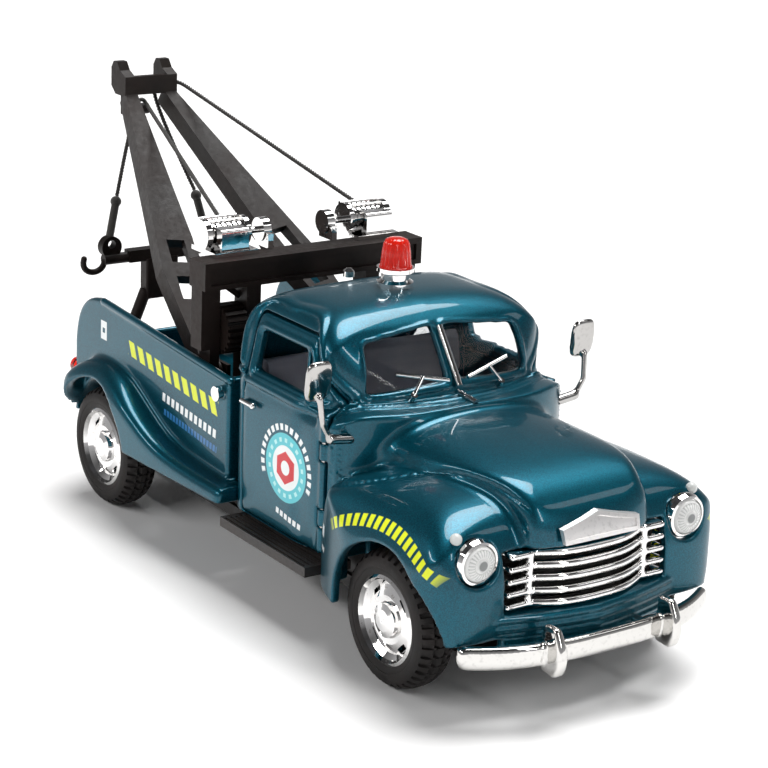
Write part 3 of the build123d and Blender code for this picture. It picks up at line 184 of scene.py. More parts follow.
class Lattice:
    """Points of a block symmetric about y = 0: the half with y positive is worked out, then mirrored."""

    def __init__(self, x_low, x_high, y_high, z_low, z_high):
        self.x = np.arange(x_low, x_high, VOXEL)
        self.y = np.arange(0, y_high, VOXEL)
        self.z = np.arange(z_low, z_high, VOXEL)
        self.X, self.Y, self.Z = self.x[:, None, None], self.y[None, :, None], self.z[None, None, :]

    def side(self, runs, round_by=0.0):
        """Prism along y with an (x, z) outline."""
        return flat_field(self.x, self.z, runs, round_by)[:, None, :]

    def plan(self, runs, round_by=0.0):
        """Prism along z with an (x, y) outline."""
        return flat_field(self.x, self.y, runs, round_by)[:, :, None]

    def section(self, runs, round_by=0.0):
        """Prism along x with a (y, z) outline."""
        return flat_field(self.y, self.z, runs, round_by)[None, :, :]

    def side_line(self, points, y_from):
        """Distance to an (x, z) line, felt only where the surface is further out than y_from."""
        distance = distance_to_line(self.x, self.z, curve_through(points))[:, None, :]
        return np.where(self.Y > y_from, distance, FAR)

    def block(self, x_low, x_high, y_low, y_high, z_low, z_high):
        """Box field."""
        across = np.maximum(between(self.X, x_low, x_high), between(self.Y, y_low, y_high))
        return np.maximum(across, between(self.Z, z_low, z_high))

    def rod_y(self, x, z, radius, y_low):
        """Cylinder along y, from y_low outwards."""
        return np.maximum(np.sqrt((self.X - x) ** 2 + (self.Z - z) ** 2) - radius, y_low - self.Y)

    def rod_x(self, y, z, radius, x_low):
        """Cylinder along x, from x_low forwards."""
        return np.maximum(np.sqrt((self.Y - y) ** 2 + (self.Z - z) ** 2) - radius, x_low - self.X)

    def barrel(self, spans, radius, grow=0.0):
        """Vertical barrels on the hinge line, one for each span of height."""
        round_part = np.sqrt((self.X - HINGE_X) ** 2 + (self.Y - HINGE_Y) ** 2) - radius
        result = FAR
        for low, high in spans:
            result = np.minimum(result, between(self.Z, low - grow, high + grow))
        return np.maximum(round_part, result)

    def mesh(self, name, field, sides=(1, -1)):
        """Smooth mesh of where the field is negative, on one side of y = 0 or both."""
        y_start = -self.y[-1] if -1 in sides else 0
        if len(sides) == 2:
            field = np.concatenate([field[:, :0:-1], field], axis=1)
        elif -1 in sides:
            field = field[:, ::-1]
        field = np.ascontiguousarray(np.clip(field, -FIELD_LIMIT, FIELD_LIMIT), dtype=np.float32)
        grid = openvdb.FloatGrid(FIELD_LIMIT)
        grid.copyFromArray(field)
        points, triangles, quads = grid.convertToPolygons(0.0, 0.0)
        faces = [tuple(face) for face in quads.tolist() + triangles.tolist()]
        points, normals = settle(field, points)
        start = np.array([self.x[0], y_start, self.z[0]])
        data = bpy.data.meshes.new(name)
        data.from_pydata(((points * VOXEL + start) * MM).tolist(), [], faces)
        data.update()
        data.polygons.foreach_set("use_smooth", [True] * len(data.polygons))
        data.normals_split_custom_set_from_vertices(normals.tolist())
        return placed(name, data)


def placed(name, data):
    """New object in the scene."""
    obj = bpy.data.objects.new(name, data)
    bpy.context.collection.objects.link(obj)
    return obj


def curve_through(points):
    """A spline through the points, both ends included."""
    if len(points) == 2:
        return np.array(points, float)
    return np.concatenate([curve(points), [points[-1]]])


def settle(field, points):
    """Moves mesh points, in lattice steps, onto the zero of the field, and gives its normals there."""
    slope = np.stack(np.gradient(field), axis=-1)
    limit = np.array(field.shape) - 1.001

    def read(values, places):
        places = np.clip(places, 0, limit)
        low = places.astype(int)
        part = places - low
        total = 0
        for corner in range(8):
            step = np.array([corner & 1, corner >> 1 & 1, corner >> 2 & 1])
            weight = np.prod(np.where(step, part, 1 - part), axis=1)
            index = low + step
            found = values[index[:, 0], index[:, 1], index[:, 2]]
            total = total + (found * weight if found.ndim == 1 else found * weight[:, None])
        return total

    points = np.array(points, float)
    for _ in range(2):
        value, normal = read(field, points), read(slope, points)
        steep = np.maximum((normal ** 2).sum(axis=1), 1e-6)
        points = points - np.clip(value / steep, -1.2, 1.2)[:, None] * normal * 0.9
    normal = read(slope, points)
    return points, normal / np.maximum(np.linalg.norm(normal, axis=1, keepdims=True), 1e-9)


# ---- front casting and doors
def cab_field(lattice):
    """Upper cab with its dome roof, upright back and sloping windshield."""
    side = loop((CAB_REAR_X, 0), (CAB_REAR_X, 37),
                [(0.3, 41.3), (4, 43.8), (11, 44.8), (17, 44.0), (21, 41.5)], (27.4, 33), (27.4, 0))
    plan = symmetric_plan((27.4, 0), [(26.3, 7), (24.4, 13), (21.5, 17.6), (16, 20)], (4.5, 20),
                          [(0.8, 18.6), (CAB_REAR_X, 15)], (CAB_REAR_X, 0))
    section = symmetric((0, 0), (19.6, 0), (19.6, SILL_Z),
                        [(20, 18), (20, 27), (19.6, BELT_Z), (18.6, 36), (17.2, 40.4), (14.8, 42.6),
                         (10, 44.0), (0, 44.8)])
    across = smooth_max(0.3, lattice.plan(plan, 0.6), lattice.section(section, 0.6))
    return smooth_max(2.0, lattice.side(side, 0.8), across)


def lower_cab_field(lattice):
    """Cab below the windows, full width as far as the cowl."""
    side = loop((CAB_REAR_X, 0), (CAB_REAR_X, 33.2), (31.4, 32.8), (31.4, 0))
    plan = symmetric_plan((31.4, 0), [(30.8, 10), (29, 15.4), (26.4, 18.6), (21, 20)], (4.5, 20),
                          [(0.8, 18.6), (CAB_REAR_X, 15)], (CAB_REAR_X, 0))
    section = symmetric((0, 0), (19.6, 0), (19.6, SILL_Z),
                        [(20, 18), (20, 27), (19.5, 30), (17.6, 31.8), (12, 32.7), (0, 32.9)])
    across = smooth_max(0.3, lattice.plan(plan, 0.4), lattice.section(section, 0.4))
    return smooth_max(1.2, lattice.side(side), across)


def hood_field(lattice):
    """Hood that narrows and drops to a blunt rounded nose."""
    side = loop((14, 0), (14, 32.4), (18, 32.4),
                [(28, 32.2), (40, 31.6), (48, 30.6), (53.5, 28.9), (57, 25.6), (58.4, 21)], (59.2, 11.6),
                (59.2, 0))
    plan = symmetric_plan((59.4, 0), [(58.6, 5), (56.6, 9.6)], (40, 13), (14, 15.9), (14, 0))
    section = symmetric((0, 0), (15.6, 0), (15.6, 11.6), (15, 24),
                        [(13.2, 28.2), (9, 30.9), (4, 32.1), (0, 32.4)])
    across = smooth_max(0.8, lattice.plan(plan, 1.0), lattice.section(section, 0.6))
    return smooth_max(2.2, lattice.side(side, 0.6), across)


def front_fender_field(lattice):
    """Front fender with its crown over the wheel and a rounded nose."""
    side = loop((24.6, 0), (24.6, 17.5),
                [(27.5, 23.4), (34, 26.6), (42, 28.2), (49.6, 27.2), (53.6, 24.6), (56.6, 18)], (57, 8.6),
                (57, 0))
    plan = loop((24.6, 2), (24.6, 20.4),
                [(30, 22.8), (37, 24.4), (45, 24.7), (51, 24.3), (55.4, 22.2), (57.6, 17.5), (57.4, 12)],
                (57, 9), (57, 2))
    section = loop((2, 0), (2, 28.4), (9, 28.4), [(15, 27.4), (20, 25.4), (23.4, 21.6), (24.7, 15.5)],
                   (24.5, 8.6), (24.5, 0))
    across = smooth_max(0.3, lattice.plan(plan, 0.6), lattice.section(section, 0.8))
    return smooth_max(2.4, lattice.side(side, 0.6), across)


CREASE_SPACING = 1.05


def valance_field(lattice):
    """Apron under the grille, with pressed creases."""
    plan = symmetric_plan((59.6, 0), [(58.6, 7), (57, 13.5), (55, 20.4)], (50, 20.4), (50, 0))
    creases = np.cos((lattice.Z - 11.5) * math.pi / CREASE_SPACING) ** 8
    creased = lattice.plan(plan, 0.5) + 0.25 * creases
    return smooth_max(0.4, creased, 9.4 - lattice.Z, lattice.Z - 13.75)


def door_prism(lattice):
    """Where a door is: inside its outline, out from the cab's interior."""
    runs = loop((3.5, SILL_Z + 0.4), (3.5, 40.6), (17.8, 40.6), (HINGE_X, 31.6), (HINGE_X, SILL_Z + 0.4))
    return np.maximum(lattice.side(runs, 0.7), 12 - lattice.Y)


def pane(lattice):
    """The opening of one windshield pane."""
    runs = loop((1.1, 34.4), (13.4, 33.6), (12.7, 40), (0.8, 41.1))
    return np.maximum(lattice.section(runs, 0.9), 16 - lattice.X)


def door_window(lattice):
    """The opening of a door's window."""
    runs = loop((5.2, 32.9), (5, 38.6), (17.3, 38.6), (21.6, 32.9))
    return np.maximum(lattice.side(runs, 0.9), 10 - lattice.Y)


def rear_window(lattice):
    """The opening in the cab's back."""
    runs = symmetric((0, 34), (8.5, 34), (8.5, 39.6), (0, 39.6))
    return np.maximum(lattice.section(runs, 0.9), lattice.X - 4)


ARCH_X, ARCH_RADIUS = 44, 11.4


def nose_cutters(lattice):
    """Grille mouth, lamp buckets, wheel arches, and the room under the fenders' noses and over the steps."""
    mouth = lattice.block(50, 62, -1, 10, 13.9, 22)
    wing = lattice.block(50, 62, 9, 13.4, 13.9, 21.8)
    bucket = lattice.rod_x(LAMP_Y, LAMP_Z, 2.65, 50)
    seat = lattice.rod_x(LAMP_Y, LAMP_Z, 3.12, 54.4)
    arch = lattice.rod_y(ARCH_X, AXLE_Z, ARCH_RADIUS, 13.6)
    fender_front = lattice.block(52, 62, 13.6, 26, 0, 10.7)
    step_room = lattice.block(0, 24.6, 16.5, 26, 0, 10.75)
    result = smooth_min(0.3, mouth, wing)
    for cutter in (bucket, seat, arch, fender_front, step_room):
        result = np.minimum(result, cutter)
    return result


LOUVRE_SPACING = 0.9


def pressed_lines(lattice, field):
    """Drip rail, belt moulding, hood seams and cowl louvres on the outside of the front casting."""
    drip_rail = [(1.9, 33.4), (1.6, 39.6), (3.0, 42.0), (8.0, 42.6), (16.6, 42.2), (19.6, 39.6), (24.2, 32.8)]
    field = bead(field, lattice.side_line(drip_rail, 12), 0.42)
    field = bead(field, lattice.side_line([(-2, 32.2), (2.8, 32.2)], 12), 0.45)
    fender_seam = [(24.2, 32.0), (25.2, 24.6), (38, 26.9), (52, 28.1), (56.4, 26.4)]
    field = groove(field, lattice.side_line(fender_seam, 9), 0.2)
    bow = 0.016 * lattice.Y ** 2
    hood_seam, cowl_step = np.abs(lattice.X - (29.6 - bow)), np.abs(lattice.X - (28.3 - bow))
    field = groove(field, np.where(lattice.Z > 27, hood_seam, FAR), 0.22)
    field = bead(field, np.where(lattice.Z > 31, cowl_step, FAR), 0.25)
    louvres = np.abs((lattice.Z % LOUVRE_SPACING) - LOUVRE_SPACING / 2)
    place = lattice.block(24.6, 26.6, 15, FAR, 23.6, 30.4) < 0
    return bead(field, np.where(place, louvres, FAR), 0.2)


DOOR_BARRELS, CAB_BARRELS = [(12, 15.6), (18.4, 25), (27.8, 31.2)], [(15.8, 18.2), (25.2, 27.6)]
BARREL_RADIUS, BARREL_ROOM_RADIUS = 0.68, 0.9


def door_field(lattice, outer, inner):
    """Door cut from the front casting's skin, with its window frame, belt, vent bar and hinge barrels."""
    window, prism = door_window(lattice), door_prism(lattice)
    skin = smooth_max(0.3, outer, -inner)
    skin = bead(skin, np.where(lattice.Y > 12, np.abs(window - 0.75), FAR), 0.34)
    skin = bead(skin, lattice.side_line([(3.5, 31.4), (HINGE_X, 31.2)], 15), 0.5)
    door = smooth_max(0.3, skin, prism, -window)
    rail = lattice.block(HINGE_X - 1.6, HINGE_X, HINGE_Y - 0.66, HINGE_Y + 0.5, SILL_Z + 0.6, 31.2)
    door = np.maximum(np.minimum(door, rail), -lattice.barrel(CAB_BARRELS, BARREL_ROOM_RADIUS, 0.15))
    door = np.minimum(door, lattice.barrel(DOOR_BARRELS, BARREL_RADIUS))
    vent = distance_to_line(lattice.x, lattice.z, [(18.9, 32), (16.2, 39.4)])[:, None, :]
    lean = np.abs(lattice.Y - (19.3 - 2.1 * (lattice.Z - 32) / 7.4))
    vent_bar = np.maximum(np.sqrt(vent ** 2 + lean ** 2) - 0.36, prism)
    return np.minimum(door, vent_bar)


def front_body_field(lattice, outer, inner):
    """The rest of the front casting: its shell with the openings, the hinge lugs, firewall and pillars."""
    panes = pane(lattice)
    body = smooth_max(0.3, pressed_lines(lattice, outer), -inner)
    body = bead(body, np.where(lattice.X > 16, np.abs(panes - 0.5), FAR), 0.24)
    body = smooth_max(0.3, body, PANEL_GAP - door_prism(lattice), -np.minimum(panes, rear_window(lattice)),
                      -nose_cutters(lattice))
    body = np.maximum(body, -lattice.barrel([(12, 31.2)], BARREL_ROOM_RADIUS, 0.2))
    extras = [lattice.barrel(CAB_BARRELS, BARREL_RADIUS)]
    for low, high in CAB_BARRELS:
        extras.append(lattice.block(HINGE_X, 25.4, HINGE_Y - 0.5, HINGE_Y + 0.15, low, high))
    extras.append(lattice.block(25.4, 26.5, -1, 13.5, 11.4, 32))
    extras.append(lattice.block(25, 26, 13, 19.2, 11.5, 29.5))
    for extra in extras:
        body = np.minimum(body, extra)
    return body


def front_castings():
    """Cab with hood and front fenders as one casting, the two doors cut from its skin, and the windows."""
    lattice = Lattice(-1.8, 61, 25.2, 7.8, 45.6)
    makers = (cab_field, lower_cab_field, hood_field, front_fender_field)
    cab, lower, hood, fender = (make(lattice) for make in makers)
    cut = lambda field, low: smooth_max(0.4, field, low - lattice.Z)
    upper = smooth_min(0.8, cut(cab, SILL_Z), cut(lower, SILL_Z))
    outer = smooth_min(1.4, smooth_min(1.6, upper, cut(hood, 11.6)), cut(fender, 8.6))
    outer = np.minimum(outer, valance_field(lattice))
    inner = np.minimum(np.minimum(cab, lower), np.minimum(hood, fender)) + BODY_WALL
    door = door_field(lattice, outer, inner)
    glass_skin = np.maximum(cab + 0.45, -(cab + 1.0))
    windshield = np.maximum(glass_skin, pane(lattice) - 0.25)
    rear_glass = np.maximum(glass_skin, rear_window(lattice) - 0.25)
    return {"cab_casting": lattice.mesh("cab_casting", front_body_field(lattice, outer, inner)),
            "right_door": lattice.mesh("right_door", door, [-1]),
            "left_door": lattice.mesh("left_door", door, [1]),
            "windshield": lattice.mesh("windshield", windshield),
            "back_window": lattice.mesh("back_window", rear_glass)}


# ---- bed casting
def rear_fender_field(lattice):
    """Rear fender with a skirt that runs forward along the bed."""
    side = loop((-47, 0), (-47, 12),
                [(-46.6, 15), (-43.6, 20.6), (-38, 23.2), (-31.6, 22.3), (-25, 19.4), (-18, 16.2),
                 (-8, 14.6), (1.8, 14.2)], (1.8, 0))
    plan = loop((-47.2, 14), (-47.2, 20), [(-45.4, 23.2), (-41, 24.1), (-30, 24.1)], (-18, 23.6),
                (1.8, 22.6), (1.8, 14))
    section = loop((14, 0), (14, 23.2), (18, 23.2), [(20.6, 22.8), (22.9, 20.8), (24.1, 17)], (24.1, 0))
    across = smooth_max(0.3, lattice.plan(plan, 0.8), lattice.section(section, 0.6))
    return smooth_max(1.8, lattice.side(side, 0.8), across)


def bed_casting():
    """Bed sides, front wall and floor with the rear fenders, as one casting."""
    lattice = Lattice(-50.4, 3.2, 25.2, 11.0, 33.4)
    rear_x = REAR_AXLE_X - 0.3
    profile = loop((BED_REAR_X, 0), (BED_REAR_X, 23), [(-47.6, 28), (-44.6, 30.8), (-40, 31.7)],
                   (BED_FRONT_X, 29.4), (BED_FRONT_X, 0))
    tub = smooth_max(0.5, lattice.side(profile), lattice.Y - BED_HALF_WIDTH)
    inner_y, inner_x = BED_HALF_WIDTH - BODY_WALL, BED_FRONT_X - 1.4
    well = lattice.block(BED_REAR_X - 3, inner_x, -1, inner_y, BED_FLOOR_Z, 50)
    below = lattice.block(BED_REAR_X - 3, inner_x, -1, inner_y, 0, BED_FLOOR_Z - 1.2)
    rail = distance_to_line(lattice.x, lattice.z, [(-40, 31.5), (BED_FRONT_X, 29.2)])[:, None, :]
    rail = np.sqrt(rail ** 2 + (lattice.Y - BED_HALF_WIDTH + 0.3) ** 2) - 0.55
    fender = rear_fender_field(lattice)
    hollow = np.maximum(fender + BODY_WALL, 19.9 - lattice.Y)
    arch_lip = np.sqrt((lattice.X - rear_x) ** 2 + (lattice.Z - AXLE_Z) ** 2) - 11.1
    solid = smooth_min(1.0, smooth_max(0.3, tub, -well, -below), np.maximum(fender, 18 - lattice.Y))
    solid = np.minimum(solid, rail)
    solid = smooth_max(0.35, solid, -hollow, 12 - lattice.Z)
    housing = np.maximum(arch_lip - 0.9, np.maximum(14 - lattice.Y, lattice.Y - 20))
    solid = np.minimum(solid, np.maximum(housing, 12 - lattice.Z))
    solid = smooth_max(0.3, solid, -np.maximum(arch_lip, 13 - lattice.Y))
    floor_ribs = np.abs((lattice.Y % 3.0) - 1.5)
    on_floor = (np.abs(lattice.Z - BED_FLOOR_Z) < 1) & (lattice.Y < inner_y - 0.8) & (lattice.X < inner_x - 1)
    solid = bead(solid, np.where(on_floor, floor_ribs, FAR), 0.22)
    cab = np.minimum(cab_field(lattice), lower_cab_field(lattice)) - 0.2
    return lattice.mesh("bed_casting", np.maximum(solid, -cab))


# ---- bumper and mirrors
def bumper_casting():
    """Bowed blade with a rounded face and a rolled lip, two standing guards and the arms behind them."""
    lattice = Lattice(49.8, 65.2, 22.2, 6.0, 14.8)
    ahead = lattice.plan(symmetric_plan((62.2, 0), [(61.7, 9.5), (60, 16), (57.4, 20.8)], (53, 26),
                                        (40, 26), (40, 0)))
    face = ahead + 0.35 * np.abs((lattice.Z - 9.6) / 1.5) ** 2.5
    rounded_end = smooth_max(1.4, lattice.Y - 20.75, lattice.Z - 11.08, 8.0 - lattice.Z)
    blade = smooth_max(0.35, face, -face - 0.95, rounded_end)
    lip = smooth_max(0.3, face, -ahead - 1.3, lattice.Z - 11.08, 10.45 - lattice.Z, rounded_end)
    tall = lattice.side(loop((60.4, 7.2), (63.2, 7.05), [(63.9, 8.4), (63.9, 11.2), (62.6, 13.5)],
                             (60.2, 13.4)), 0.4)
    wide = np.abs(lattice.Y - 9.55) - 0.92 + 0.05 * (lattice.Z - 7.2)
    guard = smooth_max(0.5, tall, wide)
    arm = lattice.block(50.4, 61.5, 6.0, 7.6, 8.6, 10.3)
    return lattice.mesh("bumper_casting", np.minimum(smooth_min(0.3, blade, lip, guard), arm))


def grille_casting():
    """Five bowed bars with rounded faces on two end posts, and short side bars."""
    lattice = Lattice(53.4, 59.6, 13.9, 13.6, 22.6)
    upright = np.abs(lattice.X - 55.3)
    result = smooth_max(0.3, upright - 1.2, np.abs(lattice.Y - 9.5) - 0.42, np.abs(lattice.Z - 18) - 3.8)
    for index in range(5):
        front, height = 58.9 - 0.12 * index, np.abs(lattice.Z - 14.6 - 1.68 * index)
        bow = lattice.plan(symmetric_plan((front, 0), [(front - 0.5, 5.2), (front - 2.4, 9.5)],
                                          (front - 4.2, 9.5), [(front - 2.3, 5.2), (front - 1.8, 0)]))
        wing = smooth_max(0.45, upright - 1.3, height - 0.42, lattice.Y - 13.25 + 0.1 * index, 9 - lattice.Y)
        result = smooth_min(0.15, result, smooth_max(0.6, bow, height - 0.52), wing)
    return lattice.mesh("grille_casting", result)


def capsule(lattice, start, end, radius):
    """Round bar between two points."""
    (x1, y1, z1), (dx, dy, dz) = start, (b - a for a, b in zip(start, end))
    across = (lattice.X - x1) * dx + (lattice.Y - y1) * dy + (lattice.Z - z1) * dz
    t = np.clip(across / (dx * dx + dy * dy + dz * dz), 0, 1)
    return np.sqrt((lattice.X - x1 - t * dx) ** 2 + (lattice.Y - y1 - t * dy) ** 2
                   + (lattice.Z - z1 - t * dz) ** 2) - radius


MIRROR_PLACE = (26.1, 22.4, 37.5)
MIRROR_HALF_WIDTH, MIRROR_HALF_HEIGHT = 2.0, 2.8
MIRROR_LEAN = 0.105
STALK_RADIUS = 0.42


def mirror_castings():
    """Two side mirrors: a rounded head with a domed front, and a cranked stalk on a foot."""
    lattice = Lattice(25.0, 28.6, 24.9, 28.4, 40.8)
    across = np.abs(lattice.Y - MIRROR_PLACE[1]) / MIRROR_HALF_WIDTH
    up = np.abs(lattice.Z - MIRROR_PLACE[2]) / MIRROR_HALF_HEIGHT
    edge = ((across ** 4 + up ** 4) ** 0.25 - 1) * MIRROR_HALF_WIDTH
    lean = lattice.X - MIRROR_PLACE[0] - MIRROR_LEAN * (lattice.Z - MIRROR_PLACE[2])
    dome = lean - 0.5 + 0.55 * (across ** 2 + up ** 2) / 2
    head = smooth_max(0.25, edge, dome, -0.5 - lean)
    head = smooth_max(0.1, head, -np.maximum(edge + 0.35, lean + 0.38))
    knee = (27.1, 22.2, 31.8)
    stalk = np.minimum(capsule(lattice, (27.0, 20.9, 29.6), knee, STALK_RADIUS),
                       capsule(lattice, knee, (26.6, 22.5, 35.4), STALK_RADIUS))
    foot = capsule(lattice, (27.0, 17.6, 29.1), (27.0, 20.7, 29.5), 0.72)
    return lattice.mesh("mirror_castings", smooth_min(0.5, smooth_min(0.4, head, stalk), foot))


# ---- turned and swept pieces
def turned(name, profile, centre, axis, steps=96, wave=None):
    """Surface turned about an axis through a centre. The profile's points are (along the axis, radius),
    and wave gives the radius's change at a profile point's index and an angle."""
    centre, axis = Vector(centre), Vector(axis).normalized()
    side = axis.orthogonal().normalized()
    other = axis.cross(side)
    points = []
    for index, (along, radius) in enumerate(profile):
        for step in range(steps):
            angle = 2 * math.pi * step / steps
            wide = radius + (wave(index, angle) if wave else 0)
            place = centre + axis * along + (side * math.cos(angle) + other * math.sin(angle)) * wide
            points.append(place * MM)
    return finished_mesh(name, points, tube_faces(len(profile), steps))


def tube_faces(rings, steps, first=0):
    """Faces between rings of points that follow each other, from the index of the first point."""
    faces = []
    for ring in range(rings - 1):
        low, high = first + ring * steps, first + (ring + 1) * steps
        for step in range(steps):
            after = (step + 1) % steps
            faces.append((low + step, low + after, high + after, high + step))
    return faces


def finished_mesh(name, points, faces, sharp_angle=40):
    """Mesh object with welded points, outward faces and smooth shading up to an angle."""
    data = bpy.data.meshes.new(name)
    data.from_pydata([tuple(p) for p in points], [], faces)
    work = bmesh.new()
    work.from_mesh(data)
    bmesh.ops.remove_doubles(work, verts=work.verts, dist=1e-6)
    bmesh.ops.recalc_face_normals(work, faces=work.faces)
    for edge in work.edges:
        edge.smooth = len(edge.link_faces) == 2 and edge.calc_face_angle(0) < math.radians(sharp_angle)
    for face in work.faces:
        face.smooth = True
    work.to_mesh(data)
    work.free()
    return placed(name, data)


TYRE_SECTION = [(16.6, 6.12), (16.45, 6.6), (16.3, 7.4), (16.45, 8.2), (16.8, 8.75), (17.1, 8.98),
                (17.5, 9.16), (17.9, 9.28), (18.3, 9.35), (18.7, 9.4), (19.1, 9.4), (19.5, 9.4), (19.9, 9.35),
                (20.3, 9.28), (20.7, 9.16), (21.1, 8.98), (21.4, 8.75), (21.6, 8.45), (21.75, 8.1),
                (21.84, 7.8), (21.9, 7.4), (21.86, 7.1), (21.8, 7.05), (21.82, 6.9), (21.74, 6.55),
                (21.55, 6.12)]
TYRE_MIDDLE_Y = 19.1
TREAD_BLOCKS = 40


def tyre_tread(index, angle):
    """Change of radius at a point of the tyre's section: shoulder blocks, and zigzag ribs between them."""
    y = TYRE_SECTION[index][0] - TYRE_MIDDLE_Y
    if abs(y) > 2.35:
        return 0.0
    if abs(y) > 1.45:
        turn = (angle * TREAD_BLOCKS / (2 * math.pi) + (0.5 if y > 0 else 0.0)) % 1
        return -0.45 if turn < 0.34 else 0.0
    zigzag = 0.28 * abs((angle * TREAD_BLOCKS / math.pi) % 2 - 1)
    return -0.4 if min(abs(abs(y) - 0.55 - zigzag), abs(abs(y) - 1.4)) < 0.16 else 0.0


def make_tyres():
    """The four tyres, each in place of its CAD ring."""
    tyres = []
    steps = 480
    section = TYRE_SECTION + TYRE_SECTION[:1]
    tread = lambda index, angle: tyre_tread(index % len(TYRE_SECTION), angle)
    for end, x in (("front", FRONT_AXLE_X), ("rear", REAR_AXLE_X)):
        for side, sign in SIDES:
            tyre = turned(f"{end}_{side}_tyre", section, (x, 0, AXLE_Z), (0, sign, 0), steps, tread)
            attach(tyre, f"{end}_wheelset")
            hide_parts(f"tyre_{end}_{side}")
            tyres.append(tyre)
    return tyres


def beacon_glass():
    """Red beacon dome, fluted on its outside, and the bulb in it."""
    low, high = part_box("beacon_dome")
    low, high = low / MM, high / MM
    x, radius, height = (low.x + high.x) / 2, (high.x - low.x) / 2, high.z - low.z
    shape = [(0, radius), (0.12, radius), (0.16, radius - 0.12), (0.3, radius - 0.16),
             (height * 0.5, radius - 0.3), (height * 0.8, radius - 0.5), (height * 0.92, radius - 0.75),
             (height * 0.98, radius - 1.25), (height, radius - 1.9), (height, 0.0)]
    inside = [(along - 0.45 if along > 1 else along, max(wide - 0.4, 0.0))
              for along, wide in reversed(shape)]
    flute = lambda index, angle: -0.12 * (0.5 + 0.5 * math.cos(angle * 16)) if 3 <= index <= 6 else 0
    dome = turned("beacon_glass", shape + inside + [shape[0]], (x, 0, low.z), (0, 0, 1), 128, flute)
    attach(dome, "root")
    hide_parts("beacon_dome")
    bulb = turned("beacon_bulb", [(0, 0.0), (0, 0.75), (1.4, 0.75), (2.6, 0.7), (3.1, 0.4), (3.25, 0.0)],
                  (x, 0, low.z + 0.1), (0, 0, 1), 48)
    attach(bulb, "root")
    return dome, bulb


def fender_lamps():
    """Small round lamp above each headlight."""
    radius, arcs = 0.8, 16
    angles = [math.pi * step / arcs for step in range(arcs + 1)]
    shape = [(-radius * math.cos(angle), radius * math.sin(angle)) for angle in angles]
    lamps = [turned(f"{side}_fender_lamp", shape, (53.7, sign * 19.6, 24.3), (1, 0, 0), 48)
             for side, sign in SIDES]
    for lamp in lamps:
        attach(lamp, "root")
    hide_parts("parking_lamps")
    return lamps


def headlight_glass():
    """Two clear lenses with concentric steps and fluted rings round a moulded grey centre."""
    low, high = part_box("headlight_lenses")
    low, high = low / MM, high / MM
    back, front = low.x, high.x
    deep = front - back
    steps = [(0, 0.0), (0, 2.38), (0.38, 2.38), (0.55, 2.26), (0.68, 2.08), (0.64, 1.95), (0.8, 1.7),
             (0.88, 1.42), (0.92, 1.2), (0.84, 1.06), (0.86, 0.9), (0.97, 0.78), (1, 0.5), (1, 0.0)]
    shape = [(deep * share, radius) for share, radius in steps]
    flute = lambda index, angle: 0.06 * math.cos(angle * 24) if 4 <= index <= 8 else 0
    lenses = [turned(f"{side}_headlight_glass", shape, (back, sign * LAMP_Y, LAMP_Z), (1, 0, 0), 144, flute)
              for side, sign in SIDES]
    for lens in lenses:
        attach(lens, "root")
    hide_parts("headlight_lenses")
    return lenses


# ---- threads
THREAD = 0.7
TWIST_LENGTH = 1.6
RING_SPACING = 0.18
ROUTES = {"right": [(-17.6, -12.0, 49.3), (-57.6, -1.5, 57.6), (-61.7, -0.4, 58.5), (-63.5, -0.9, 56.9),
                    (-59.3, -6.3, 43.0)],
          "left": [(-17.6, 12.0, 49.3), (-56.8, 6.5, 59.8), (-60.9, 5.9, 60.9), (-62.3, 3.6, 60.7),
                   (-63.6, 1.7, 59.0), (-58.0, 7.6, 43.0)]}


def route_line(name, points):
    """Points read from the NURBS spline of a route, in mm."""
    guide = bpy.data.curves.new(name, "CURVE")
    guide.dimensions = "3D"
    spline = guide.splines.new("NURBS")
    spline.points.add(len(points) - 1)
    for point, place in zip(spline.points, points):
        point.co = (*(c * MM for c in place), 1)
    spline.order_u, spline.use_endpoint_u, spline.resolution_u = 3, True, 40
    holder = placed(name, guide)
    bpy.context.view_layer.update()
    mesh = bpy.data.meshes.new_from_object(holder.evaluated_get(bpy.context.evaluated_depsgraph_get()))
    line = [vertex.co / MM for vertex in mesh.vertices]
    bpy.data.objects.remove(holder)
    bpy.data.meshes.remove(mesh)
    return line


def twisted_thread(name, line):
    """Three strands twisted round a line, as one mesh."""
    lengths = np.concatenate([[0], np.cumsum([(b - a).length for a, b in zip(line, line[1:])])])
    total, around = lengths[-1], 8
    count = int(total / RING_SPACING)
    frames = []
    normal = Vector((0, 1, 0))
    for along in np.linspace(0, total, count + 1):
        segment = min(int(np.searchsorted(lengths, along, side="right")) - 1, len(line) - 2)
        part = (along - lengths[segment]) / (lengths[segment + 1] - lengths[segment])
        tangent = (line[segment + 1] - line[segment]).normalized()
        normal = (normal - tangent * normal.dot(tangent)).normalized()
        place = line[segment].lerp(line[segment + 1], part)
        frames.append((place, normal.copy(), tangent.cross(normal), along))
    vertices, faces = [], []
    strand = THREAD / 2 / 2.05
    for turn in range(3):
        first = len(vertices)
        for place, normal, other, along in frames:
            phase = 2 * math.pi * (along / TWIST_LENGTH + turn / 3)
            centre = place + (normal * math.cos(phase) + other * math.sin(phase)) * (THREAD / 2 - strand)
            for step in range(around):
                angle = 2 * math.pi * step / around
                rim = (normal * math.cos(angle) + other * math.sin(angle)) * strand
                vertices.append((centre + rim) * MM)
        faces += tube_faces(count + 1, around, first)
        faces.append(tuple(first + step for step in reversed(range(around))))
        faces.append(tuple(first + count * around + step for step in range(around)))
    return finished_mesh(name, vertices, faces, 60)


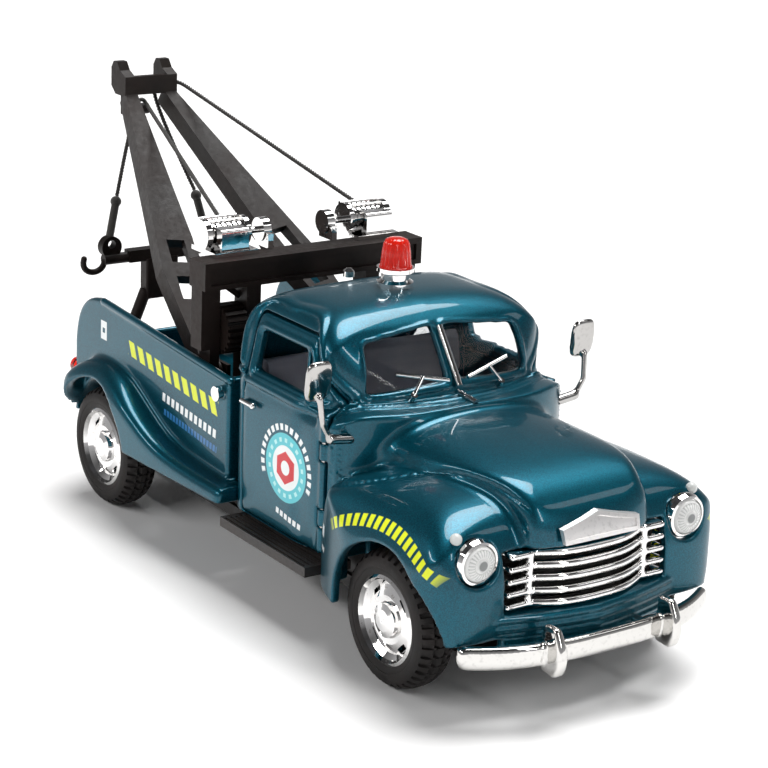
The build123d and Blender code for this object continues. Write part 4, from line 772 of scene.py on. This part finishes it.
def make_threads():
    """The two threads from the winches over the boom head to their links."""
    threads = []
    for side in ("right", "left"):
        line = route_line(f"{side}_route", ROUTES[side])
        thread = twisted_thread(f"{side}_thread", line)
        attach(thread, "root")
        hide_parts(f"tow_thread_{side}")
        threads.append(thread)
    return threads


# ---- materials
class Finish:
    """A node material built round one Principled shader. Its lengths are in mm, in the rest position."""

    def __init__(self, name, **settings):
        self.material = bpy.data.materials.new(name)
        self.material.use_nodes = True
        self.nodes, self.links = self.material.node_tree.nodes, self.material.node_tree.links
        self.shader = self.nodes["Principled BSDF"]
        for socket, value in settings.items():
            self.set(socket.replace("_", " "), value)
        place = self.nodes.new("ShaderNodeTexCoord").outputs["Object"]
        self.place = self.vector("MULTIPLY", place, (1000, 1000, 1000))

    def feed(self, socket, value):
        """Links an output to a socket, or sets the socket to a value."""
        if isinstance(value, bpy.types.NodeSocket):
            self.links.new(value, socket)
        elif isinstance(value, tuple) and len(value) == 3 and socket.type == "RGBA":
            socket.default_value = (*value, 1)
        else:
            socket.default_value = value

    def set(self, socket, value):
        """Feeds one of the shader's own sockets."""
        self.feed(self.shader.inputs[socket], value)

    def math(self, operation, *values, clamp=False):
        """One math node."""
        node = self.nodes.new("ShaderNodeMath")
        node.operation, node.use_clamp = operation, clamp
        for socket, value in zip(node.inputs, values):
            self.feed(socket, value)
        return node.outputs[0]

    def vector(self, operation, *values):
        """One vector math node."""
        node = self.nodes.new("ShaderNodeVectorMath")
        node.operation = operation
        for socket, value in zip(node.inputs, values):
            self.feed(socket, value)
        return node.outputs["Value" if operation == "LENGTH" else "Vector"]

    def axes(self, place=None):
        """The three coordinates of a point."""
        node = self.nodes.new("ShaderNodeSeparateXYZ")
        self.feed(node.inputs[0], place or self.place)
        return node.outputs

    def noise(self, scale, detail=3.0, stretch=(1, 1, 1)):
        """Soft noise, with scale features to the mm."""
        node = self.nodes.new("ShaderNodeTexNoise")
        self.feed(node.inputs["Vector"], self.vector("MULTIPLY", self.place, stretch))
        node.inputs["Scale"].default_value = scale
        node.inputs["Detail"].default_value = detail
        return node.outputs["Fac"]

    def cells(self, scale):
        """A random shade for each cell, with scale cells to the mm."""
        node = self.nodes.new("ShaderNodeTexVoronoi")
        self.feed(node.inputs["Vector"], self.place)
        node.inputs["Scale"].default_value = scale
        return self.math("FRACT", self.math("MULTIPLY", self.axes(node.outputs["Color"])[0], 7.0))

    def span(self, value, low, high, to_low=0.0, to_high=1.0):
        """Maps a range of a value to another, and keeps it inside."""
        node = self.nodes.new("ShaderNodeMapRange")
        for socket, number in zip(node.inputs, (value, low, high, to_low, to_high)):
            self.feed(socket, number)
        return node.outputs[0]

    def mix(self, share, first, second):
        """Mixes two colours."""
        node = self.nodes.new("ShaderNodeMix")
        node.data_type = "RGBA"
        self.feed(node.inputs["Factor"], share)
        self.feed(node.inputs[6], first)
        self.feed(node.inputs[7], second)
        return node.outputs[2]

    def bump(self, height, depth, strength=1.0):
        """Feeds the normal from a height of 0 to 1 that stands for a depth in mm."""
        node = self.nodes.new("ShaderNodeBump")
        node.inputs["Strength"].default_value = strength
        node.inputs["Distance"].default_value = depth * MM
        self.feed(node.inputs["Height"], height)
        self.set("Normal", node.outputs[0])

    def away(self, value, middle):
        """How far a value is from a middle one."""
        return self.math("ABSOLUTE", self.math("SUBTRACT", value, middle))

    def reach(self, across, up):
        """Length of a line from how far it goes across and up."""
        squares = [self.math("MULTIPLY", value, value) for value in (across, up)]
        return self.math("SQRT", self.math("ADD", *squares))

    # masks, 1 inside and 0 outside
    def below(self, value, limit, edge=0.04):
        """Where a length is under a limit."""
        return self.span(value, limit - edge, limit + edge, 1.0, 0.0)

    def both(self, *masks):
        """Where all the masks are."""
        result = masks[0]
        for mask in masks[1:]:
            result = self.math("MULTIPLY", result, mask)
        return result

    def beyond(self, value, limit):
        """Where a length is over a limit."""
        return self.math("SUBTRACT", 1.0, self.below(value, limit))

    def ring(self, distance, low, high):
        """Where a distance lies between two radii."""
        return self.both(self.below(distance, high), self.beyond(distance, low))

    def stripe(self, start, end, width):
        """A straight band between two (x, z) points: its mask, and the distances along and across it."""
        x, _, z = self.axes()
        dx, dz = end[0] - start[0], end[1] - start[1]
        length = math.hypot(dx, dz)
        from_x, from_z = self.math("SUBTRACT", x, start[0]), self.math("SUBTRACT", z, start[1])
        along = self.math("ADD", self.math("MULTIPLY", from_x, dx / length),
                          self.math("MULTIPLY", from_z, dz / length))
        across = self.math("SUBTRACT", self.math("MULTIPLY", from_z, dx / length),
                           self.math("MULTIPLY", from_x, dz / length))
        mask = self.both(self.below(self.away(along, length / 2), length / 2),
                         self.below(self.math("ABSOLUTE", across), width / 2))
        return mask, along, across

    def repeat(self, value, period, share):
        """Stripes of a value, each filling a share of the period."""
        turn = self.math("FRACT", self.math("DIVIDE", value, period))
        return self.below(self.away(turn, 0.5), share / 2, 0.03)


# colours of the marks, the middles of the roundel and of the dashes' arc, and periods in radians
YELLOW, WHITE = (0.75, 0.82, 0.02), (0.85, 0.88, 0.88)
CYAN, PALE_CYAN = (0.10, 0.55, 0.62), (0.45, 0.8, 0.8)
RED, BLUE = (0.62, 0.02, 0.03), (0.03, 0.17, 0.42)
ROUNDEL_X, ROUNDEL_Z = 15.1, 21.6
THIRTIETH_TURN, TWENTY_FOURTH_TURN, EIGHTEENTH_TURN = 0.2094, 0.2618, 0.349
FENDER_ARC_X, FENDER_ARC_Z = 43.2, 1.6


def door_marks(finish):
    """Roundel with a plain hexagon nut, a broken ring round it and a row of dashes under it."""
    x, _, z = finish.axes()
    across, up = finish.math("SUBTRACT", x, ROUNDEL_X), finish.math("SUBTRACT", z, ROUNDEL_Z)
    distance, angle = finish.reach(across, up), finish.math("ARCTAN2", up, across)
    ticks = finish.both(finish.ring(distance, 5.35, 6.25), finish.repeat(angle, THIRTIETH_TURN, 0.6),
                        finish.beyond(finish.away(angle, -math.pi / 2), 1.2))
    small_ticks = finish.both(finish.ring(distance, 3.7, 4.3), finish.repeat(angle, EIGHTEENTH_TURN, 0.45))
    wide = finish.math("ABSOLUTE", across)
    slant = finish.math("ADD", finish.math("MULTIPLY", wide, 0.5),
                        finish.math("MULTIPLY", finish.math("ABSOLUTE", up), 0.866))
    nut = finish.both(finish.below(finish.math("MAXIMUM", wide, slant), 2.1), finish.beyond(distance, 1.05))
    row, along, _ = finish.stripe((12.7, 14.9), (18.9, 13.9), 0.85)
    return [(ticks, WHITE), (finish.below(distance, 4.95), CYAN), (small_ticks, PALE_CYAN),
            (finish.below(distance, 3.2), WHITE), (nut, RED),
            (finish.both(row, finish.repeat(along, 1.05, 0.68)), WHITE)]


def bed_marks(finish):
    """Yellow block stripes, a white dashed line and a blue one under it, and a small plain badge."""
    x, y, z = finish.axes()
    flat_side = finish.ring(finish.math("ABSOLUTE", y), 18.9, 19.5)
    band, along, across = finish.stripe((-31.4, 26.4), (-4.6, 24.2), 2.3)
    slanted = finish.math("ADD", along, finish.math("MULTIPLY", across, 0.5))
    blocks = finish.both(band, finish.repeat(slanted, 2.68, 0.62))
    line, line_along, _ = finish.stripe((-21.0, 21.6), (-4.8, 20.2), 1.3)
    dashes = finish.both(line, finish.repeat(line_along, 1.35, 0.62))
    shade, shade_along, _ = finish.stripe((-20.4, 19.3), (-4.8, 17.9), 1.0)
    blue = finish.both(shade, finish.repeat(shade_along, 0.9, 0.7))
    along, up = finish.away(x, -39.4), finish.away(z, 27.0)
    badge = finish.both(finish.below(along, 0.95), finish.below(up, 1.5),
                        finish.beyond(finish.math("MAXIMUM", along, up), 0.4))
    return [(finish.both(mask, flat_side), colour)
            for mask, colour in ((blocks, YELLOW), (dashes, WHITE), (blue, BLUE), (badge, WHITE))]


def fender_marks(finish):
    """Yellow dashes that follow the wheel arch, and two white bars over a row of small ones behind it."""
    x, y, z = finish.axes()
    outside = finish.beyond(finish.math("ABSOLUTE", y), 19.6)
    across, up = finish.math("SUBTRACT", x, FENDER_ARC_X), finish.math("SUBTRACT", z, FENDER_ARC_Z)
    angle = finish.math("ARCTAN2", across, up)
    arc = finish.both(finish.ring(finish.reach(across, up), 20.6, 22.1), finish.repeat(angle, 0.066, 0.62),
                      finish.below(finish.math("ABSOLUTE", angle), 0.56))
    upper, upper_along, _ = finish.stripe((25.3, 17.2), (28.1, 16.9), 1.7)
    lower, lower_along, _ = finish.stripe((25.4, 14.7), (28.3, 14.4), 0.8)
    bars = finish.math("ADD", finish.both(upper, finish.repeat(upper_along, 1.45, 0.7)),
                       finish.both(lower, finish.repeat(lower_along, 0.75, 0.6)))
    return [(finish.both(arc, outside), YELLOW), (finish.both(bars, outside), WHITE)]


PAINT_METAL = 0.7


def paint(name, marks=None):
    """Deep metallic teal under clear lacquer: fine flakes, a slow drift of shade, a little orange peel."""
    finish = Finish(name, Metallic=PAINT_METAL, Roughness=0.34, Specular_IOR_Level=0.15, Coat_Weight=0.5,
                    Coat_Roughness=0.03, Coat_IOR=1.5)
    flakes = finish.span(finish.cells(9.0), 0.2, 1.0, 0.0, 0.55)
    drift = finish.span(finish.noise(0.06, 2.0), 0.35, 0.65)
    base = finish.mix(drift, (0.0006, 0.046, 0.072), (0.0008, 0.060, 0.090))
    colour = finish.mix(flakes, base, (0.001, 0.125, 0.185))
    if marks:
        covered = 0.0
        for mask, shade in marks(finish):
            colour = finish.mix(mask, colour, shade)
            covered = finish.math("MAXIMUM", covered, mask)
        finish.set("Metallic", finish.span(covered, 0.0, 1.0, PAINT_METAL, 0.0))
    finish.set("Base Color", colour)
    finish.bump(finish.noise(0.55, 2.0), 0.02, 0.35)
    return finish.material


def plated(name, specks_from, bright, dull, rough):
    """Vacuum-plated plastic: faint ripples, and a few dull specks that may be rougher than the rest."""
    finish = Finish(name, Metallic=1.0)
    specks = finish.span(finish.noise(1.6, 4.0), specks_from, 0.75)
    finish.set("Base Color", finish.mix(specks, bright, dull))
    finish.set("Roughness", finish.span(specks, 0.0, 1.0, *rough) if isinstance(rough, tuple) else rough)
    finish.bump(finish.noise(0.5, 2.0), 0.05, 0.4)
    return finish.material


def chrome():
    """Bright plating."""
    return plated("chrome", 0.62, (0.84, 0.83, 0.82), (0.55, 0.52, 0.49), (0.045, 0.16))


def satin_chrome(name, base, rough):
    """Duller plating, for the bumper, the mirrors and the badge on the nose."""
    return plated(name, 0.55, base, tuple(c * 0.8 for c in base), rough)


def mottled(name, dark, light, rough, noise, relief, **settings):
    """Material whose colour, roughness and relief all follow one noise."""
    finish = Finish(name, **settings)
    shade = finish.noise(*noise)
    finish.set("Base Color", finish.mix(shade, dark, light))
    finish.set("Roughness", finish.span(shade, 0.3, 0.7, *rough))
    finish.bump(shade, *relief)
    return finish.material


def steel():
    """Turned steel with fine marks round it."""
    return mottled("steel", (0.38, 0.38, 0.39), (0.60, 0.59, 0.57), (0.22, 0.4), (1.2, 4.0, (1, 12, 1)),
                   (0.01, 0.4), Metallic=1.0)


def cotton():
    """Black waxed thread: fine fibres along the twist."""
    return mottled("cotton", (0.010, 0.009, 0.008), (0.05, 0.045, 0.04), (0.6, 0.85), (5.0, 4.0, (1, 3, 1)),
                   (0.03, 0.6), Specular_IOR_Level=0.3, Sheen_Weight=0.25)


def brass():
    """Dull brass of the small gears."""
    return mottled("brass", (0.36, 0.22, 0.07), (0.62, 0.44, 0.17), (0.25, 0.45), (0.8, 4.0), (0.01, 0.5),
                   Metallic=1.0)


def plastic(name, dark, light, rough, grain=1.4, depth=0.03, specular=0.5):
    """Moulded plastic with a fine grain and slight worn patches."""
    finish = Finish(name, Specular_IOR_Level=specular)
    grains, patches = finish.noise(grain, 4.0), finish.noise(0.12, 3.0)
    finish.set("Base Color", finish.mix(finish.span(patches, 0.35, 0.7), dark, light))
    wear_level = finish.math("ADD", grains, patches)
    finish.set("Roughness", finish.span(wear_level, 0.7, 1.3, rough - 0.08, rough + 0.1))
    finish.bump(grains, depth, 0.5)
    return finish.material


def rubber():
    """Tyre rubber: matt and a little dusty, with a fine grain."""
    finish = Finish("rubber", Specular_IOR_Level=0.25)
    dust = finish.noise(0.35, 5.0)
    dusty = finish.span(dust, 0.4, 0.72)
    finish.set("Base Color", finish.mix(dusty, (0.010, 0.0085, 0.0080), (0.024, 0.020, 0.019)))
    finish.set("Roughness", finish.span(dust, 0.3, 0.7, 0.52, 0.72))
    finish.bump(finish.noise(2.2, 3.0), 0.04, 0.6)
    return finish.material


def glass(name, tint, rough=0.0, bump_depth=0.0, ior=1.46):
    """Clear moulded plastic for windows and lenses."""
    finish = Finish(name, Transmission_Weight=1.0, IOR=ior, Roughness=rough)
    haze = finish.span(finish.noise(0.3, 3.0), 0.3, 0.7)
    finish.set("Base Color", finish.mix(haze, tint, tuple(c * 0.94 for c in tint)))
    if bump_depth:
        finish.bump(finish.noise(0.8, 2.0), bump_depth, 0.5)
    return finish.material


def lamp_glass():
    """Clear lens with a grey moulded centre, a ring of frosted rays and a faint painted glow round the
    centre.
    """
    finish = Finish("lamp_glass", IOR=1.5)
    _, y, z = finish.axes()
    side = finish.math("SUBTRACT", finish.math("ABSOLUTE", y), LAMP_Y)
    up = finish.math("SUBTRACT", z, LAMP_Z)
    distance, angle = finish.reach(side, up), finish.math("ARCTAN2", up, side)
    centre = finish.below(distance, 0.68, 0.12)
    rays = finish.both(finish.ring(distance, 1.2, 1.95), finish.repeat(angle, TWENTY_FOURTH_TURN, 0.4))
    frost = finish.mix(rays, (0.86, 0.86, 0.85), (0.60, 0.61, 0.60))
    finish.set("Base Color", finish.mix(centre, frost, (0.22, 0.23, 0.23)))
    finish.set("Transmission Weight", finish.span(centre, 0.0, 1.0, 0.25, 0.1))
    # painted glow: the toy's lenses give no light, and this faint emission only brightens them outside the
    # centre
    finish.set("Emission Color", (0.9, 0.91, 0.9))
    finish.set("Emission Strength", finish.span(centre, 0.0, 1.0, 0.04, 0.0))
    finish.set("Roughness", finish.span(finish.noise(1.5, 3.0), 0.3, 0.7, 0.05, 0.16))
    return finish.material


def frosted():
    """Milky plastic of the small lamps on the fenders."""
    finish = Finish("frosted", Transmission_Weight=0.25, IOR=1.46, Roughness=0.12)
    milk = finish.noise(0.9, 3.0)
    finish.set("Base Color", finish.mix(milk, (0.74, 0.76, 0.74), (0.88, 0.89, 0.87)))
    finish.bump(milk, 0.03, 0.4)
    return finish.material


def red_glass():
    """Clear red plastic of the beacon, with a painted highlight that makes it lighter towards its top, and a
    faint painted glow.
    """
    finish = Finish("red_glass", Transmission_Weight=0.55, IOR=1.5, Roughness=0.08)
    z = finish.axes()[2]
    # painted light: the red is mixed lighter towards the top of the dome, where the light from above falls
    painted_top_light = finish.span(finish.math("ADD", z, finish.noise(0.9, 2.0)), 47.2, 52.0)
    finish.set("Base Color", finish.mix(painted_top_light, (0.60, 0.008, 0.004), (0.76, 0.02, 0.008)))
    # painted glow: the toy's beacon is no lamp, and this emission only brightens its red
    finish.set("Emission Color", (0.9, 0.04, 0.01))
    finish.set("Emission Strength", 0.10)
    finish.bump(finish.noise(1.0, 2.0), 0.03, 0.3)
    return finish.material


# ---- camera, light and floor
CAMERA_PLACE = (261.2, -179.6, 126.6)      # mm
CAMERA_AZIMUTH, CAMERA_ELEVATION, CAMERA_ROLL = 54.50, 17.48, 2.48
SENSOR_WIDTH = 36.0
CAMERA_LENS = 105.93


def make_camera():
    """Camera at the viewing angle, turned a little about its own axis."""
    azimuth, elevation, roll = (math.radians(a) for a in (CAMERA_AZIMUTH, CAMERA_ELEVATION, CAMERA_ROLL))
    back = Vector((math.sin(azimuth) * math.cos(elevation), -math.cos(azimuth) * math.cos(elevation),
                   math.sin(elevation)))
    level = Vector((math.cos(azimuth), math.sin(azimuth), 0))
    upright = back.cross(level)
    right = level * math.cos(roll) + upright * math.sin(roll)
    up = upright * math.cos(roll) - level * math.sin(roll)
    data = bpy.data.cameras.new("camera")
    data.lens, data.sensor_width = CAMERA_LENS, SENSOR_WIDTH
    data.clip_start, data.clip_end = 0.01, 20
    camera = placed("camera", data)
    turn = Matrix((right, up, back)).transposed().to_4x4()
    camera.matrix_world = Matrix.Translation(Vector(CAMERA_PLACE) * MM) @ turn
    bpy.context.scene.camera = camera


def soft_light(name, place, aim, size, power):
    """Rectangular studio light at a place, aimed at a point. All its lengths are in mm."""
    data = bpy.data.lights.new(name, "AREA")
    data.shape, data.size, data.size_y = "RECTANGLE", size[0] * MM, size[1] * MM
    data.energy = power
    light = placed(name, data)
    light.location = Vector(place) * MM
    light.rotation_euler = (Vector(place) - Vector(aim)).to_track_quat("Z", "Y").to_euler()


def sun(azimuth, elevation, strength, spread):
    """Even light from one direction, as wide as a soft box."""
    data = bpy.data.lights.new("sun", "SUN")
    data.energy, data.angle = strength, math.radians(spread)
    light = placed("sun", data)
    light.rotation_euler = (0, math.radians(90 - elevation), math.radians(azimuth))


def make_floor():
    """Pale paper floor."""
    bpy.ops.mesh.primitive_plane_add(size=8.0, location=(0, 0, 0))
    floor = bpy.context.object
    floor.name = "floor"
    paper = Finish("paper", Base_Color=(0.95, 0.945, 0.94), Roughness=0.7, Specular_IOR_Level=0.1)
    floor.data.materials.append(paper.material)


def make_surround():
    """A surround that is bright low down and dark overhead."""
    world = bpy.data.worlds.new("surround")
    world.use_nodes = True
    nodes, links = world.node_tree.nodes, world.node_tree.links
    direction = nodes.new("ShaderNodeTexCoord").outputs["Generated"]
    split = nodes.new("ShaderNodeSeparateXYZ")
    ramp = nodes.new("ShaderNodeValToRGB")
    stops = ramp.color_ramp.elements
    stops[0].position, stops[0].color = 0.0, (0.60, 0.60, 0.60, 1)
    stops[1].position, stops[1].color = 1.0, (0.06, 0.06, 0.065, 1)
    for place, shade in ((0.04, 0.44), (0.25, 0.30), (0.42, 0.20), (0.58, 0.07), (0.85, 0.04)):
        stop = stops.new(place)
        stop.color = (shade, shade, shade * 1.02, 1)
    links.new(direction, split.inputs[0])
    links.new(split.outputs["Z"], ramp.inputs[0])
    links.new(ramp.outputs[0], nodes["Background"].inputs["Color"])
    nodes["Background"].inputs["Strength"].default_value = 1.0
    bpy.context.scene.world = world


def make_studio():
    """Floor, surround, one wide sun and three soft boxes."""
    make_floor()
    make_surround()
    sun(azimuth=124, elevation=70, strength=3.9, spread=40)
    soft_light("strip", (-60, -330, 250), (0, 0, 25), (420, 25), 0.6)
    soft_light("front", (400, 60, 230), (20, 0, 15), (30, 240), 0.35)
    soft_light("high", (210, 230, 290), (40, 0, 20), (150, 40), 0.05)


# ---- everything in place
def wear(material, *objects):
    """Gives pieces one material. A CAD piece may be given by its name."""
    for obj in objects:
        data = (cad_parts[obj] if isinstance(obj, str) else obj).data
        data.materials.clear()
        data.materials.append(material)


def place_castings():
    """The castings and the windows take the places of their CAD nodes."""
    parts = front_castings()
    parts["bed_casting"] = bed_casting()
    parts["bumper"] = bumper_casting()
    parts["mirrors"] = mirror_castings()
    parts["grille"] = grille_casting()
    homes = {"cab_casting": ("root", "cab_body", "body_paint"),
             "bed_casting": ("root", "bed_body", "body_paint"),
             "right_door": ("door_right_body", "door_right", "body_paint"),
             "left_door": ("door_left_body", "door_left", "body_paint"),
             "grille": ("root", "grille", "chrome"),
             "bumper": ("root", "front_bumper", "chrome"),
             "mirrors": ("root", "side_mirrors", "chrome"),
             "windshield": ("root", "windshield_glass", "window_glass"),
             "back_window": ("root", "rear_glass", "window_glass")}
    for name, (body, node, slot) in homes.items():
        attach(parts[name], body)
        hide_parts(node)
    return parts


castings = place_castings()
tyres = make_tyres()
dome, bulb = beacon_glass()
lenses = headlight_glass()
lamps = fender_lamps()
threads = make_threads()

wear(paint("paint_front", fender_marks), castings["cab_casting"])
wear(paint("paint_bed", bed_marks), castings["bed_casting"])
wear(paint("paint_door", door_marks), castings["right_door"], castings["left_door"])
wear(paint("paint_plain"), "tailgate")
wear(glass("window_glass", (0.84, 0.86, 0.87), ior=1.16), castings["windshield"], castings["back_window"])
wear(rubber(), *tyres)
wear(red_glass(), dome)
wear(lamp_glass(), *lenses)
wear(cotton(), *threads)
wear(cotton(), "thread_links")
wear(chrome(), "windshield_divider", "wipers", "headlight_rings", "hood_ornament", "beacon_base", "roof_stud",
     "filler_cap", "winch_right", "winch_left", "door_handle_right", "door_handle_left", "rim_front_right",
     "rim_front_left", "rim_rear_right", "rim_rear_left", "inside_mirror", bulb, castings["grille"])
wear(satin_chrome("bumper_plating", (0.66, 0.65, 0.63), 0.06), castings["bumper"])
wear(satin_chrome("mirror_plating", (0.46, 0.45, 0.44), 0.08), castings["mirrors"])
wear(satin_chrome("badge_plating", (0.95, 0.93, 0.92), 0.38), "nose_badge")
wear(steel(), "hinge_pins", "chassis_screws", "front_axle", "rear_axle", "mainspring")
wear(frosted(), *lamps)
wear(glass("tail_lamp", (0.75, 0.03, 0.02), 0.15, 0.03), "tail_lamps")
wear(plastic("seat_plastic", (0.25, 0.25, 0.30), (0.34, 0.34, 0.40), 0.5), "interior_tub")
wear(plastic("wheel_plastic", (0.015, 0.015, 0.016), (0.03, 0.03, 0.03), 0.4), "steering_wheel")
wear(plastic("step_plastic", (0.022, 0.018, 0.017), (0.040, 0.033, 0.030), 0.5, 2.0, 0.05), "running_boards")
wear(plastic("chassis_plastic", (0.007, 0.0065, 0.006), (0.018, 0.016, 0.015), 0.42, 2.0, 0.05),
     "chassis_base", "grille_backing")
wear(plastic("crane_plastic", (0.009, 0.006, 0.005), (0.021, 0.014, 0.012), 0.44, 1.1, 0.05, 0.16),
     "crane_deck", "mast_frame", "boom_right", "boom_left", "boom_head", "drum_gear_right", "drum_gear_left",
     "tow_sling")
wear(plastic("case_plastic", (0.05, 0.05, 0.052), (0.09, 0.09, 0.09), 0.45), "motor_case")
wear(brass(), "axle_gear")
wear(plastic("nylon", (0.55, 0.53, 0.47), (0.68, 0.66, 0.60), 0.4), "idler_gear", "spring_gear")
make_camera()
make_studio()
bpy.context.scene.view_settings.view_transform = "Standard"
